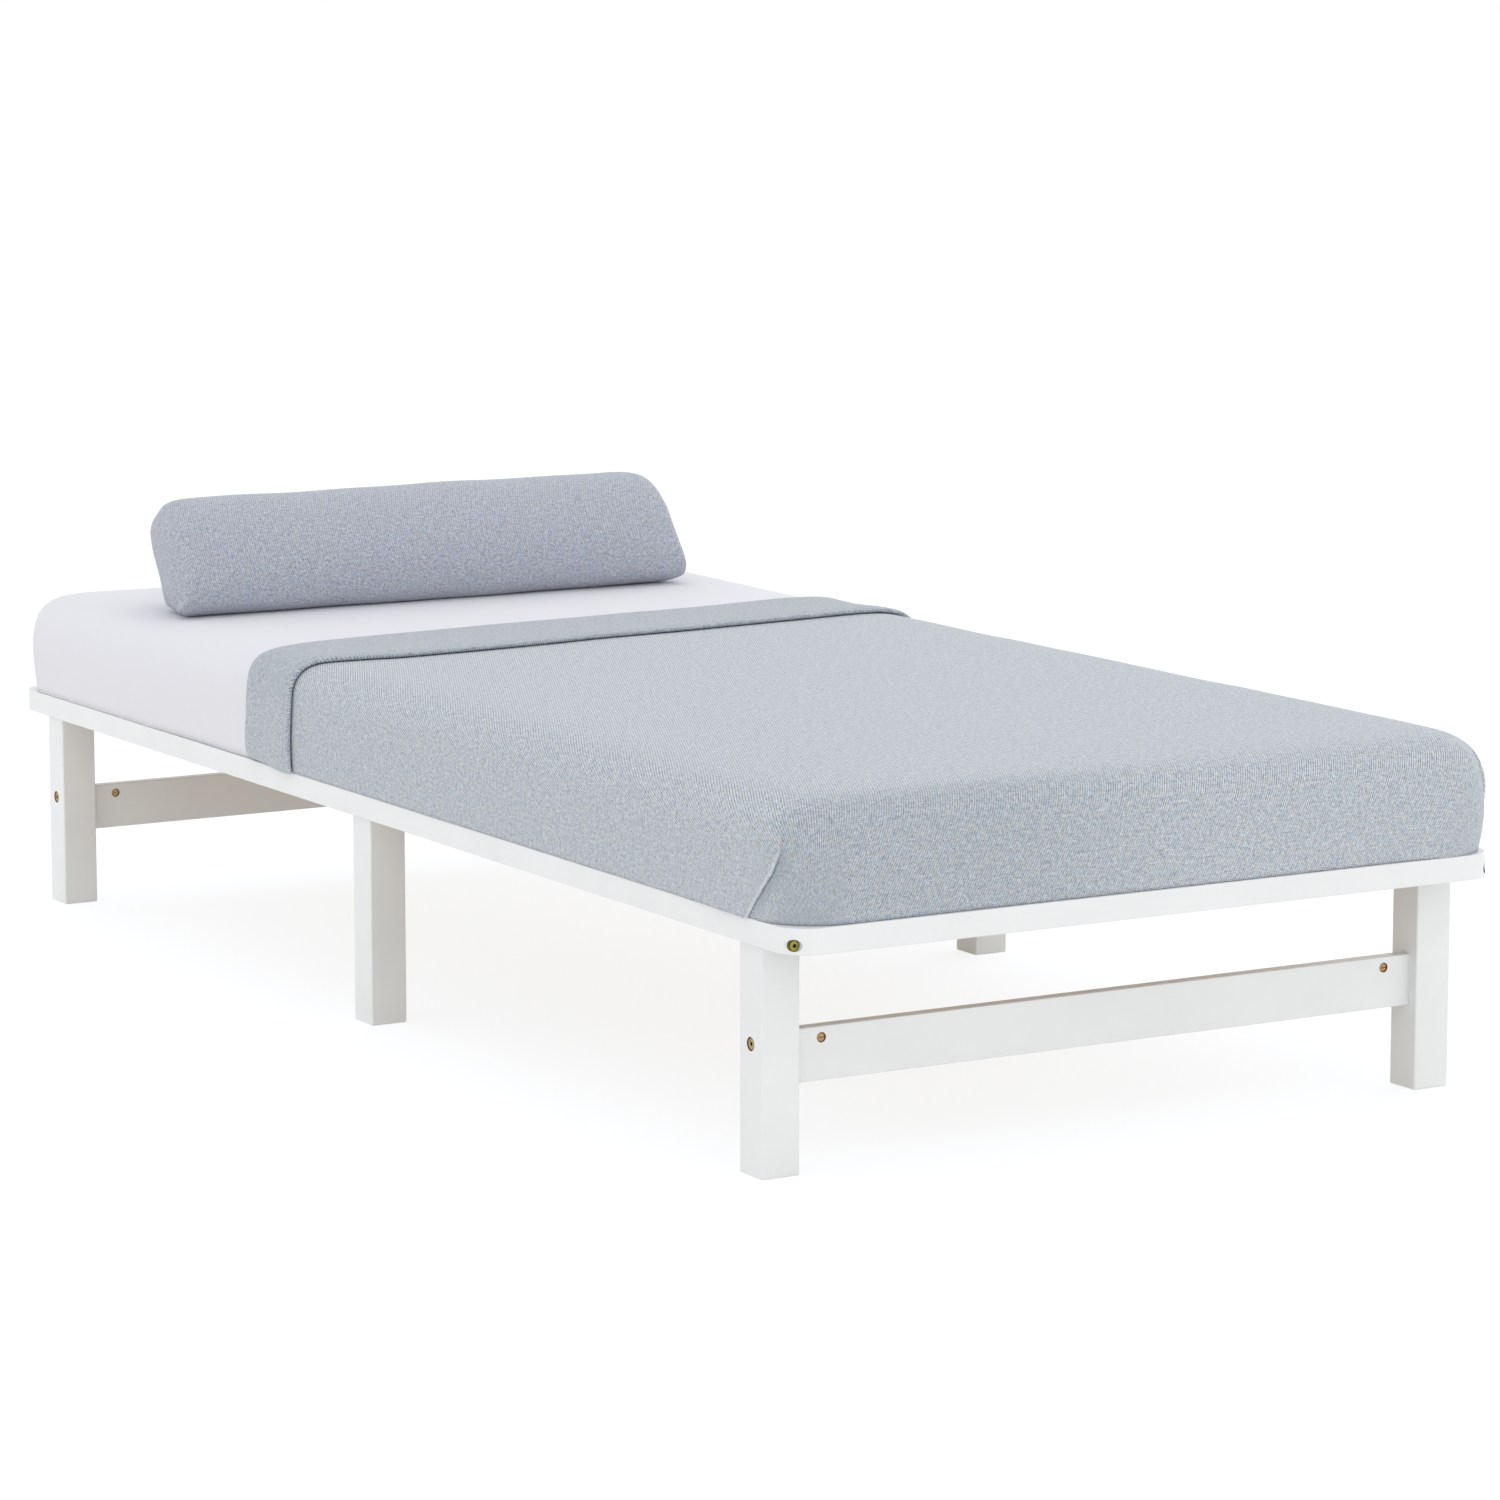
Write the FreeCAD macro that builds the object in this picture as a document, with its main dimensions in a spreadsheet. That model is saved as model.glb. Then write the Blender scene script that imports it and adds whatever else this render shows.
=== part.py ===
import FreeCAD, Part
import Sketcher
import os

# Low single bed: a painted softwood frame on six square legs, a slatted base that lies flush inside
# the rails, and the bedding on it. Millimetres, +Z up, head end at +Y. The origin is on the floor,
# under the middle of the bed.

SIZES = {
    # frame outline
    "frame_length": 2000.0,
    "frame_width": 910.0,
    "rail_height": 28.0,
    "side_rail_thickness": 20.0,
    "end_rail_depth": 45.0,
    "rail_corner_radius": 37.0,
    "rail_arris": 1.2,
    # legs
    "leg_side": 46.0,
    "leg_height": 249.0,
    "leg_inset": 8.0,
    "leg_set_back": 74.0,
    "leg_arris": 2.0,
    # stretchers between the two foot legs and the two head legs
    "stretcher_height": 58.0,
    "stretcher_thickness": 17.0,
    "stretcher_underside": 95.0,
    "stretcher_arris": 1.5,
    # slatted base
    "ledger_width": 24.0,
    "ledger_thickness": 12.0,
    "ledger_short_of_end_rail": 38.0,
    "slat_thickness": 16.0,
    "slat_board_width": 80.0,
    "slat_count": 13.0,
    "slat_end_clearance": 1.5,
    "slat_arris": 2.0,
    "mid_cross_rail_width": 45.0,
    "mid_cross_rail_height": 28.0,
    # bolts and barrel nuts
    "bolt_diameter": 6.0,
    "socket_across_flats": 4.0,
    "socket_depth": 2.5,
    "stretcher_bolt_head_diameter": 14.0,
    "stretcher_bolt_head_height": 4.0,
    "stretcher_bolt_head_recess": 0.8,
    "stretcher_bolt_below_top": 12.0,
    "corner_bolt_head_diameter": 12.0,
    "corner_bolt_head_height": 5.0,
    "foot_left_bolt_set_in": 12.0,
    "corner_bolt_set_in": 21.0,
    "corner_bolt_above_underside": 10.0,
    "barrel_nut_diameter": 10.0,
    "barrel_nut_recess": 1.0,
    "barrel_nut_from_leg": 35.0,
    "barrel_nut_slot_width": 1.4,
    "barrel_nut_slot_depth": 1.2,
    "corner_nut_length": 14.0,
    "corner_nut_from_joint": 30.0,
    "bolt_end_overrun": 6.0,
    "hole_clearance": 0.25,
    # screws and dowels
    "leg_screw_diameter": 5.0,
    "leg_screw_length": 50.0,
    "leg_screw_head_diameter": 9.5,
    "leg_screw_head_height": 3.0,
    "leg_screw_spacing": 16.0,
    "leg_screw_from_rail": 7.0,
    "slat_screw_diameter": 4.0,
    "slat_screw_length": 25.0,
    "slat_screw_head_diameter": 7.5,
    "slat_screw_head_height": 2.4,
    "slat_screw_from_ledger_edge": 7.0,
    "ledger_screw_diameter": 4.0,
    "ledger_screw_length": 36.0,
    "ledger_screw_head_diameter": 7.5,
    "ledger_screw_head_height": 2.4,
    "dowel_diameter": 8.0,
    "dowel_length": 36.0,
    "stretcher_dowel_above_underside": 15.0,
    "mid_dowel_spacing": 22.0,
    "mid_dowel_above_underside": 8.0,
    # mattress
    "mattress_set_in_at_ends": 9.0,
    "mattress_set_in_at_sides": 4.0,
    "mattress_thickness": 128.0,
    "mattress_corner_radius": 62.0,
    "mattress_bottom_draw": 9.0,
    "mattress_top_draw": 118.0,
    # bedding
    "cloth_gap": 0.3,
    "fitted_sheet_thickness": 1.2,
    "blanket_thickness": 3.2,
    "turnback_thickness": 5.5,
    "turnback_width": 132.0,
    "blanket_head_edge": 296.0,
    "bolster_length": 752.0,
    "bolster_depth": 150.0,
    "bolster_height": 145.0,
    "bolster_base_width": 82.0,
    "bolster_centre_along": 676.0,
    "bolster_centre_across": -20.0,
    "bolster_end_draw": 46.0,
    # one overrun for all cuts
    "cut_overrun": 1.0,
}

# Mattress form: heights as shares of its thickness, draw-in as shares of the bottom or top draw.
MATTRESS_LOW_SHARES = ((0.0, 1.0), (0.05, 0.45), (0.12, 0.18), (0.24, 0.04), (0.42, 0.0))
MATTRESS_HIGH_SHARES = (
    (0.60, 0.004), (0.74, 0.022), (0.82, 0.05), (0.885, 0.10), (0.93, 0.165), (0.958, 0.245),
    (0.976, 0.34), (0.988, 0.46), (0.995, 0.60), (0.9985, 0.78), (1.0, 1.0),
)
CORNER_SHRINK_SHARE = 0.36

# Bolster ends: distance from the end as a share of the end draw, and the section's size there.
BOLSTER_END_SHARES = (
    (0.0, 0.80), (0.12, 0.885), (0.42, 0.965), (1.0, 1.0), (1.7, 1.0), (3.0, 1.0), (5.0, 1.0),
)
BOLSTER_SIDE_HEIGHT_SHARE = 0.46
BOLSTER_SHOULDER_SHARES = (0.74, 0.845)
BOLSTER_FOOT_SHARES = (0.90, 0.40)

# Small features of the fasteners as shares of the head height or the screw radius.
BOLT_RIM_SHARE = 0.17
SCREW_TIP_SHARE = 0.25

# Every sketch starts at this rough size, before its constraints are bound to the sheet.
SKETCH_START = 9.0

doc = FreeCAD.newDocument("pallet_bed")
sheet = doc.addObject("Spreadsheet::Sheet", "sizes")
for row, (alias, value) in enumerate(SIZES.items(), start=1):
    sheet.set("A%d" % row, alias)
    sheet.set("B%d" % row, repr(value))
    sheet.setAlias("B%d" % row, alias)
doc.recompute()

nodes = []


def size(alias):
    return float(sheet.get(alias))


def bind(target, prop, formula):
    """Ties a property to the sheet. Words of the formula that are aliases are looked up there."""
    words = []
    for word in formula.split():
        words.append("sizes." + word if word in SIZES else word)
    target.setExpression(prop, " ".join(words))


def new_body(name, across, along, up):
    body = doc.addObject("PartDesign::Body", name)
    body.Label = name
    for axis, formula in zip("xyz", (across, along, up)):
        bind(body, "Placement.Base." + axis, formula)
    nodes.append(body)
    return body


def plane_of(body, role):
    return [feature for feature in body.Origin.OriginFeatures if feature.Role == role][0]


def new_sketch(body, name, role, offsets=("0", "0", "0")):
    sketch = body.newObject("Sketcher::SketchObject", name)
    sketch.AttachmentSupport = (plane_of(body, role), "")
    sketch.MapMode = "FlatFace"
    for axis, formula in zip("xyz", offsets):
        bind(sketch, "AttachmentOffset.Base." + axis, formula)
    return sketch


def draw_rectangle(sketch, width, depth):
    """A rectangle centred on the sketch's origin, with its two sizes bound to the sheet."""
    turns = ((-1, -1), (1, -1), (1, 1), (-1, 1))
    corner = [FreeCAD.Vector(a * SKETCH_START, b * SKETCH_START, 0) for a, b in turns]
    for start in range(4):
        sketch.addGeometry(Part.LineSegment(corner[start], corner[(start + 1) % 4]), False)
        sketch.addConstraint(Sketcher.Constraint("Horizontal" if start % 2 == 0 else "Vertical", start))
    for start in range(4):
        sketch.addConstraint(Sketcher.Constraint("Coincident", start, 2, (start + 1) % 4, 1))
    sketch.addConstraint(Sketcher.Constraint("Symmetric", 0, 1, 1, 2, -1, 1))
    wide = sketch.addConstraint(Sketcher.Constraint("DistanceX", 0, 1, 0, 2, 2 * SKETCH_START))
    deep = sketch.addConstraint(Sketcher.Constraint("DistanceY", 1, 1, 1, 2, 2 * SKETCH_START))
    sketch.renameConstraint(wide, "width")
    sketch.renameConstraint(deep, "depth")
    bind(sketch, "Constraints.width", width)
    bind(sketch, "Constraints.depth", depth)


def pad_box(body, width, depth, height):
    """A board: width along X, depth along Y, standing height up from the body's origin."""
    sketch = new_sketch(body, body.Name + "_outline", "XY_Plane")
    draw_rectangle(sketch, width, depth)
    pad = body.newObject("PartDesign::Pad", body.Name + "_pad")
    pad.Profile = sketch
    bind(pad, "Length", height)
    sketch.Visibility = False
    doc.recompute()
    return pad


def edge_names(shape, test):
    return ["Edge%d" % (index + 1) for index, edge in enumerate(shape.Edges) if test(edge)]


def runs_along(edge, axis):
    direction = edge.Vertexes[-1].Point - edge.Vertexes[0].Point
    parts = [abs(value) for value in direction]
    return len(edge.Vertexes) == 2 and parts[axis] > 0.999 * direction.Length


def round_edges(body, feature, names, radius):
    fillet = body.newObject("PartDesign::Fillet", "%s_round_%s" % (body.Name, radius))
    fillet.Base = (feature, names)
    bind(fillet, "Radius", radius)
    doc.recompute()
    return fillet


def bore(body, name, role, offsets, diameter, depth, reverse=False):
    """A round blind hole from a sketch on one of the body's own planes."""
    before = body.Shape.Volume
    sketch = new_sketch(body, "%s_%s_sketch" % (body.Name, name), role, offsets)
    circle = Part.Circle(FreeCAD.Vector(0, 0, 0), FreeCAD.Vector(0, 0, 1), SKETCH_START)
    sketch.addGeometry(circle, False)
    sketch.addConstraint(Sketcher.Constraint("Coincident", 0, 3, -1, 1))
    across = sketch.addConstraint(Sketcher.Constraint("Diameter", 0, 2 * SKETCH_START))
    sketch.renameConstraint(across, "across")
    bind(sketch, "Constraints.across", diameter)
    pocket = body.newObject("PartDesign::Pocket", "%s_%s" % (body.Name, name))
    pocket.Profile = sketch
    pocket.Reversed = reverse
    bind(pocket, "Length", depth)
    sketch.Visibility = False
    doc.recompute()
    if not body.Shape.Volume < before:
        raise ValueError("%s cuts nothing in %s" % (name, body.Name))
    return pocket


# Fasteners. Each is made with the outer face of its head at the origin and its shank along -Z.

UP = FreeCAD.Vector(0, 0, 1)
ALONG_X = FreeCAD.Vector(1, 0, 0)
ALONG_Y = FreeCAD.Vector(0, 1, 0)


def socket_bolt(head_diameter, head_height, length):
    head = Part.makeCylinder(head_diameter / 2, head_height, UP * -head_height)
    shank = Part.makeCylinder(size("bolt_diameter") / 2, length, UP * -length)
    bolt = head.fuse(shank).removeSplitter()
    rim = [edge for edge in bolt.Edges if abs(edge.CenterOfMass.z) < head_height / 100]
    bolt = bolt.makeFillet(head_height * BOLT_RIM_SHARE, rim)
    corner = FreeCAD.Vector(size("socket_across_flats") / 3 ** 0.5, 0, 0)
    turns = [FreeCAD.Rotation(UP, 60 * step) for step in range(7)]
    hexagon = Part.makePolygon([turn.multVec(corner) for turn in turns])
    return bolt.cut(Part.Face(hexagon).extrude(UP * -size("socket_depth")))


def countersunk_screw(kind, grow=0.0):
    """A wood screw's envelope, or with grow the hole that it sits in."""
    radius = size(kind + "_diameter") / 2 + grow
    head_radius = size(kind + "_head_diameter") / 2 + grow
    length = size(kind + "_length") + grow
    head = Part.makeCone(head_radius, radius, size(kind + "_head_height"), UP * 0, UP * -1)
    shank = Part.makeCylinder(radius, length - 2 * radius, UP * 0, UP * -1)
    point = radius * SCREW_TIP_SHARE
    tip = Part.makeCone(radius, point, 2 * radius, UP * (2 * radius - length), UP * -1)
    return head.fuse([shank, tip]).removeSplitter()


def barrel_nut(length):
    """A cylinder along Z with the bolt's cross hole along X and a driver slot in its upper face."""
    radius = size("barrel_nut_diameter") / 2
    body = Part.makeCylinder(radius, length, UP * (-length / 2))
    hole_radius = size("bolt_diameter") / 2 + size("hole_clearance")
    hole = Part.makeCylinder(hole_radius, 2 * radius, ALONG_X * -radius, ALONG_X)
    wide, deep = size("barrel_nut_slot_width"), size("barrel_nut_slot_depth")
    slot = Part.makeBox(
        2 * radius, wide, deep, FreeCAD.Vector(-radius, -wide / 2, length / 2 - deep)
    )
    return body.cut(hole).cut(slot)


def dowel(centre, grow=0.0):
    """A plain wooden dowel along X, or with grow the hole that holds it."""
    length = size("dowel_length") + 2 * grow
    radius = size("dowel_diameter") / 2 + grow
    return Part.makeCylinder(radius, length, centre - ALONG_X * (length / 2), ALONG_X)


def placed(shape, position, facing):
    """A copy of a fastener moved to its place, with its head facing the given way."""
    copy = shape.copy()
    copy.Placement = FreeCAD.Placement(position, FreeCAD.Rotation(UP, facing))
    return copy


def add_group(name, shapes):
    """One node that holds several separate solids, or a single shape made by formula."""
    feature = doc.addObject("Part::Feature", name)
    feature.Label = name
    feature.Shape = Part.makeCompound(shapes) if len(shapes) > 1 else shapes[0]
    feature.Placement = FreeCAD.Placement()
    nodes.append(feature)
    return feature


def drill(body, holes):
    """Cuts the screw and dowel holes out of a finished piece, which keeps its name."""
    tool = doc.addObject("Part::Feature", body.Name + "_holes")
    tool.Shape = Part.makeCompound(holes)
    cut = doc.addObject("Part::Cut", body.Name + "_drilled")
    cut.Base = body
    cut.Tool = tool
    label = body.Label
    body.Label = label + "_blank"
    cut.Label = label
    nodes[nodes.index(body)] = cut
    doc.recompute()
    if not cut.Shape.Volume < body.Shape.Volume:
        raise ValueError("no hole is cut in " + label)
    return cut


# Places worked out once from the sizes, shared by the holes and by what sits in them

gap = size("cloth_gap")
clearance = size("hole_clearance")
half_width = size("frame_width") / 2
half_length = size("frame_length") / 2
rail_top = size("leg_height") + size("rail_height")
leg_outer = half_width - size("leg_inset")
leg_inner = leg_outer - size("leg_side")
end_leg_along = half_length - size("leg_set_back") - size("leg_side") / 2
side_inner = half_width - size("side_rail_thickness")
ledger_top = size("leg_height") + size("ledger_thickness")
ledger_inner = side_inner - size("ledger_width")
ledger_middle_up = size("leg_height") + size("ledger_thickness") / 2
stretcher_top = size("stretcher_underside") + size("stretcher_height")
stretcher_bolt_up = stretcher_top - size("stretcher_bolt_below_top")
corner_bolt_across = half_width - size("side_rail_thickness") / 2
corner_bolt_up = size("leg_height") + size("corner_bolt_above_underside")
end_rail_inner = half_length - size("end_rail_depth")
slat_pitch = 2 * end_rail_inner / size("slat_count")
slat_top = ledger_top + size("slat_thickness")
slat_screw_across = ledger_inner + size("slat_screw_from_ledger_edge")
leg_screw_across = side_inner - size("leg_screw_from_rail")
mid_dowel_up = ledger_top - size("mid_cross_rail_height") + size("mid_dowel_above_underside")
stretcher_dowel_up = size("stretcher_underside") + size("stretcher_dowel_above_underside")

SIDES = (("left", -1), ("right", 1))
ENDS = (("foot", -1), ("head", 1))


def slat_along(number):
    return -end_rail_inner + slat_pitch * (number + 0.5)


def leg_screws(side, along, grow=0.0):
    step = size("leg_screw_spacing") / 2
    screw = countersunk_screw("leg_screw", grow)
    return [
        placed(screw, FreeCAD.Vector(side * leg_screw_across, along + offset, ledger_top), UP)
        for offset in (-step, step)
    ]


def slat_screw(side, number, grow=0.0):
    place = FreeCAD.Vector(side * slat_screw_across, slat_along(number), slat_top)
    return placed(countersunk_screw("slat_screw", grow), place, UP)


def ledger_screws(side, grow=0.0):
    """One screw through the ledger into the side rail, in each gap between two slats."""
    screw = countersunk_screw("ledger_screw", grow)
    places = [slat_along(number) + slat_pitch / 2 for number in range(int(size("slat_count")) - 1)]
    return [
        placed(screw, FreeCAD.Vector(side * ledger_inner, along, ledger_middle_up), ALONG_X * -side)
        for along in places
    ]


def stretcher_dowel(side, end, grow=0.0):
    return dowel(FreeCAD.Vector(side * leg_inner, end * end_leg_along, stretcher_dowel_up), grow)


def mid_dowels(side, grow=0.0):
    step = size("mid_dowel_spacing") / 2
    return [dowel(FreeCAD.Vector(side * leg_inner, y, mid_dowel_up), grow) for y in (-step, step)]


# Frame pieces


def bolt_set_in(end, side):
    """The foot left bolt stands further out in its hole than the other three."""
    return "foot_left_bolt_set_in" if (end, side) == (-1, -1) else "corner_bolt_set_in"


def make_end_rail(name, end):
    """Rail across the foot or head, its two outer corners rounded and bored for the corner bolts."""
    body = new_body(name, "0", "%d * ( frame_length / 2 - end_rail_depth / 2 )" % end, "leg_height")
    pad = pad_box(body, "frame_width", "end_rail_depth", "rail_height")
    corners = edge_names(pad.Shape, lambda e: runs_along(e, 2) and e.CenterOfMass.y * end > 0)
    rounded = round_edges(body, pad, corners, "rail_corner_radius")
    long_edges = edge_names(
        rounded.Shape, lambda e: runs_along(e, 0) and e.CenterOfMass.y * end > 0
    )
    round_edges(body, rounded, long_edges, "rail_arris")
    face = "%d * end_rail_depth / 2" % -end
    for word, side in SIDES:
        across = "%d * ( frame_width / 2 - side_rail_thickness / 2 )" % side
        place = (across, "corner_bolt_above_underside", face)
        head_across = "corner_bolt_head_diameter + 2 * hole_clearance"
        head_deep = bolt_set_in(end, side) + " + corner_bolt_head_height"
        bore(body, word + "_head_bore", "XZ_Plane", place, head_across, head_deep, end > 0)
        hole_across = "bolt_diameter + 2 * hole_clearance"
        bore(
            body, word + "_bolt_hole", "XZ_Plane", place, hole_across,
            "end_rail_depth + cut_overrun", end > 0,
        )


def make_side_rail(name, side):
    """Long rail between the end rails, bored at each end for a corner bolt and its barrel nut."""
    across = "%d * ( frame_width / 2 - side_rail_thickness / 2 )" % side
    body = new_body(name, across, "0", "leg_height")
    pad = pad_box(body, "side_rail_thickness", "frame_length - 2 * end_rail_depth", "rail_height")
    outer = edge_names(pad.Shape, lambda e: runs_along(e, 1) and e.CenterOfMass.x * side > 0)
    round_edges(body, pad, outer, "rail_arris")
    for word, end in ENDS:
        face = "%d * ( frame_length / 2 - end_rail_depth )" % -end
        bore(
            body, word + "_bolt_hole", "XZ_Plane", ("0", "corner_bolt_above_underside", face),
            "bolt_diameter + 2 * hole_clearance", "corner_nut_from_joint + 2 * bolt_end_overrun", end > 0,
        )
        along = "%d * ( frame_length / 2 - end_rail_depth - corner_nut_from_joint )" % end
        inner = "%d * side_rail_thickness / 2" % -side
        bore(
            body, word + "_nut_hole", "YZ_Plane", (along, "corner_bolt_above_underside", inner),
            "barrel_nut_diameter + 2 * hole_clearance",
            "side_rail_thickness / 2 + corner_nut_length / 2", side > 0,
        )
    drill(body, ledger_screws(side, clearance))


def make_leg(name, side, along_formula, along, has_stretcher):
    """A square leg. Those at the ends are bored through for the stretcher bolt."""
    across = "%d * ( frame_width / 2 - leg_inset - leg_side / 2 )" % side
    body = new_body(name, across, along_formula, "0")
    pad = pad_box(body, "leg_side", "leg_side", "leg_height")
    low = size("leg_height") / 2
    eased = edge_names(
        pad.Shape, lambda e: runs_along(e, 2) or e.CenterOfMass.z < low / 2
    )
    round_edges(body, pad, eased, "leg_arris")
    if has_stretcher:
        bolt_up = "stretcher_underside + stretcher_height - stretcher_bolt_below_top"
        place = ("0", bolt_up, "%d * leg_side / 2" % side)
        bore(
            body, "head_bore", "YZ_Plane", place, "stretcher_bolt_head_diameter + 2 * hole_clearance",
            "stretcher_bolt_head_height + stretcher_bolt_head_recess", side < 0,
        )
        bore(
            body, "bolt_hole", "YZ_Plane", place, "bolt_diameter + 2 * hole_clearance",
            "leg_side + cut_overrun", side < 0,
        )
        dowels = [stretcher_dowel(side, 1 if along > 0 else -1, clearance)]
    else:
        dowels = mid_dowels(side, clearance)
    drill(body, leg_screws(side, along, clearance) + dowels)


def make_stretcher(name, end):
    """Cross board between two end legs, with a bolt hole and a barrel nut hole at each end."""
    along = "%d * ( frame_length / 2 - leg_set_back - leg_side / 2 )" % end
    body = new_body(name, "0", along, "stretcher_underside")
    length = "frame_width - 2 * leg_inset - 2 * leg_side"
    pad = pad_box(body, length, "stretcher_thickness", "stretcher_height")
    round_edges(body, pad, edge_names(pad.Shape, lambda e: runs_along(e, 0)), "stretcher_arris")
    bolt_up = "stretcher_height - stretcher_bolt_below_top"
    for word, side in SIDES:
        end_face = "%d * ( frame_width / 2 - leg_inset - leg_side )" % side
        bore(
            body, word + "_bolt_hole", "YZ_Plane", ("0", bolt_up, end_face),
            "bolt_diameter + 2 * hole_clearance", "barrel_nut_from_leg + 2 * bolt_end_overrun", side < 0,
        )
        across = "%d * ( frame_width / 2 - leg_inset - leg_side - barrel_nut_from_leg )" % side
        bore(
            body, word + "_nut_hole", "XZ_Plane", (across, bolt_up, "stretcher_thickness / 2 + cut_overrun"),
            "barrel_nut_diameter + 2 * hole_clearance", "stretcher_thickness + 2 * cut_overrun",
        )
    drill(body, [stretcher_dowel(side, end, clearance) for _, side in SIDES])


def make_ledger(name, side):
    """Strip screwed inside a side rail. The slats lie on it and the legs stand under it."""
    across = "%d * ( frame_width / 2 - side_rail_thickness - ledger_width / 2 )" % side
    body = new_body(name, across, "0", "leg_height")
    length = "frame_length - 2 * end_rail_depth - 2 * ledger_short_of_end_rail"
    pad_box(body, "ledger_width", length, "ledger_thickness")
    holes = ledger_screws(side, clearance)
    for along in (-end_leg_along, 0, end_leg_along):
        holes += leg_screws(side, along, clearance)
    holes += [slat_screw(side, number, clearance) for number in range(int(size("slat_count")))]
    drill(body, holes)


def make_mid_cross_rail(name):
    """Board on edge between the two middle legs, directly under the middle slat."""
    up = "leg_height + ledger_thickness - mid_cross_rail_height"
    body = new_body(name, "0", "0", up)
    length = "frame_width - 2 * leg_inset - 2 * leg_side"
    pad_box(body, length, "mid_cross_rail_width", "mid_cross_rail_height")
    drill(body, mid_dowels(-1, clearance) + mid_dowels(1, clearance))


def make_slat(name, number):
    """One board across the bed, screwed to both ledgers."""
    end = "( frame_length / 2 - end_rail_depth )"
    along = "%s * %d / slat_count - %s" % (end, 2 * number + 1, end)
    body = new_body(name, "0", along, "leg_height + ledger_thickness")
    length = "frame_width - 2 * side_rail_thickness - 2 * slat_end_clearance"
    pad = pad_box(body, length, "slat_board_width", "slat_thickness")
    top = edge_names(
        pad.Shape, lambda e: runs_along(e, 0) and e.CenterOfMass.z > size("slat_thickness") / 2
    )
    round_edges(body, pad, top, "slat_arris")
    drill(body, [slat_screw(side, number, clearance) for _, side in SIDES])


# Fastener groups


def make_corner_bolts():
    bolts, nuts = [], []
    nut = barrel_nut(size("corner_nut_length"))
    for _, end in ENDS:
        for _, side in SIDES:
            set_in = size(bolt_set_in(end, side))
            reach = size("corner_nut_from_joint") + size("bolt_end_overrun")
            length = size("end_rail_depth") - set_in + reach
            bolt = socket_bolt(
                size("corner_bolt_head_diameter"), size("corner_bolt_head_height"), length
            )
            place = FreeCAD.Vector(side * corner_bolt_across, end * (half_length - set_in), corner_bolt_up)
            bolts.append(placed(bolt, place, ALONG_Y * end))
            along = end * (end_rail_inner - size("corner_nut_from_joint"))
            turned = nut.copy()
            turned.rotate(FreeCAD.Vector(0, 0, 0), UP, 90)
            facing = FreeCAD.Rotation(ALONG_Y, -90 * side)
            spot = FreeCAD.Vector(side * corner_bolt_across, along, corner_bolt_up)
            turned.Placement = FreeCAD.Placement(spot, facing).multiply(turned.Placement)
            nuts.append(turned)
    add_group("corner_bolts", bolts)
    add_group("corner_barrel_nuts", nuts)


def make_stretcher_bolts():
    bolts, nuts = [], []
    recess = size("stretcher_bolt_head_recess")
    length = size("leg_side") - recess + size("barrel_nut_from_leg") + size("bolt_end_overrun")
    bolt = socket_bolt(
        size("stretcher_bolt_head_diameter"), size("stretcher_bolt_head_height"), length
    )
    nut = barrel_nut(size("stretcher_thickness") - 2 * size("barrel_nut_recess"))
    for _, end in ENDS:
        for _, side in SIDES:
            across = side * (leg_outer - recess)
            place = FreeCAD.Vector(across, end * end_leg_along, stretcher_bolt_up)
            bolts.append(placed(bolt, place, ALONG_X * side))
            across = side * (leg_inner - size("barrel_nut_from_leg"))
            copy = nut.copy()
            spot = FreeCAD.Vector(across, end * end_leg_along, stretcher_bolt_up)
            copy.Placement = FreeCAD.Placement(spot, FreeCAD.Rotation(ALONG_X, 90))
            nuts.append(copy)
    add_group("stretcher_bolts", bolts)
    add_group("stretcher_barrel_nuts", nuts)


def make_screws_and_dowels():
    leg_places = [(side, along) for _, side in SIDES for along in (-end_leg_along, 0, end_leg_along)]
    add_group("leg_screws", [screw for place in leg_places for screw in leg_screws(*place)])
    add_group("ledger_screws", ledger_screws(-1) + ledger_screws(1))
    numbers = range(int(size("slat_count")))
    add_group("slat_screws", [slat_screw(side, n) for n in numbers for _, side in SIDES])
    add_group("stretcher_dowels", [stretcher_dowel(side, end) for _, side in SIDES for _, end in ENDS])
    add_group("mid_rail_dowels", mid_dowels(-1) + mid_dowels(1))


# Bedding


def rounded_section(half_across, half_along, radius, up):
    """A rectangle with rounded corners, lying flat at a height, as four lines and four arcs."""
    edges = []
    straight = 0.5 ** 0.5 * radius
    corners = ((1, 1), (-1, 1), (-1, -1), (1, -1))
    ends = []
    for index, (x, y) in enumerate(corners):
        centre = FreeCAD.Vector(x * (half_across - radius), y * (half_along - radius), up)
        toward_x, toward_y = FreeCAD.Vector(x * radius, 0, 0), FreeCAD.Vector(0, y * radius, 0)
        first, last = (toward_x, toward_y) if index % 2 == 0 else (toward_y, toward_x)
        middle = centre + FreeCAD.Vector(x * straight, y * straight, 0)
        edges.append(Part.Arc(centre + first, middle, centre + last).toShape())
        ends.append((centre + first, centre + last))
    wire_edges = []
    for index, edge in enumerate(edges):
        wire_edges.append(edge)
        wire_edges.append(Part.makeLine(ends[index][1], ends[(index + 1) % 4][0]))
    return Part.Wire(wire_edges)


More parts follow.
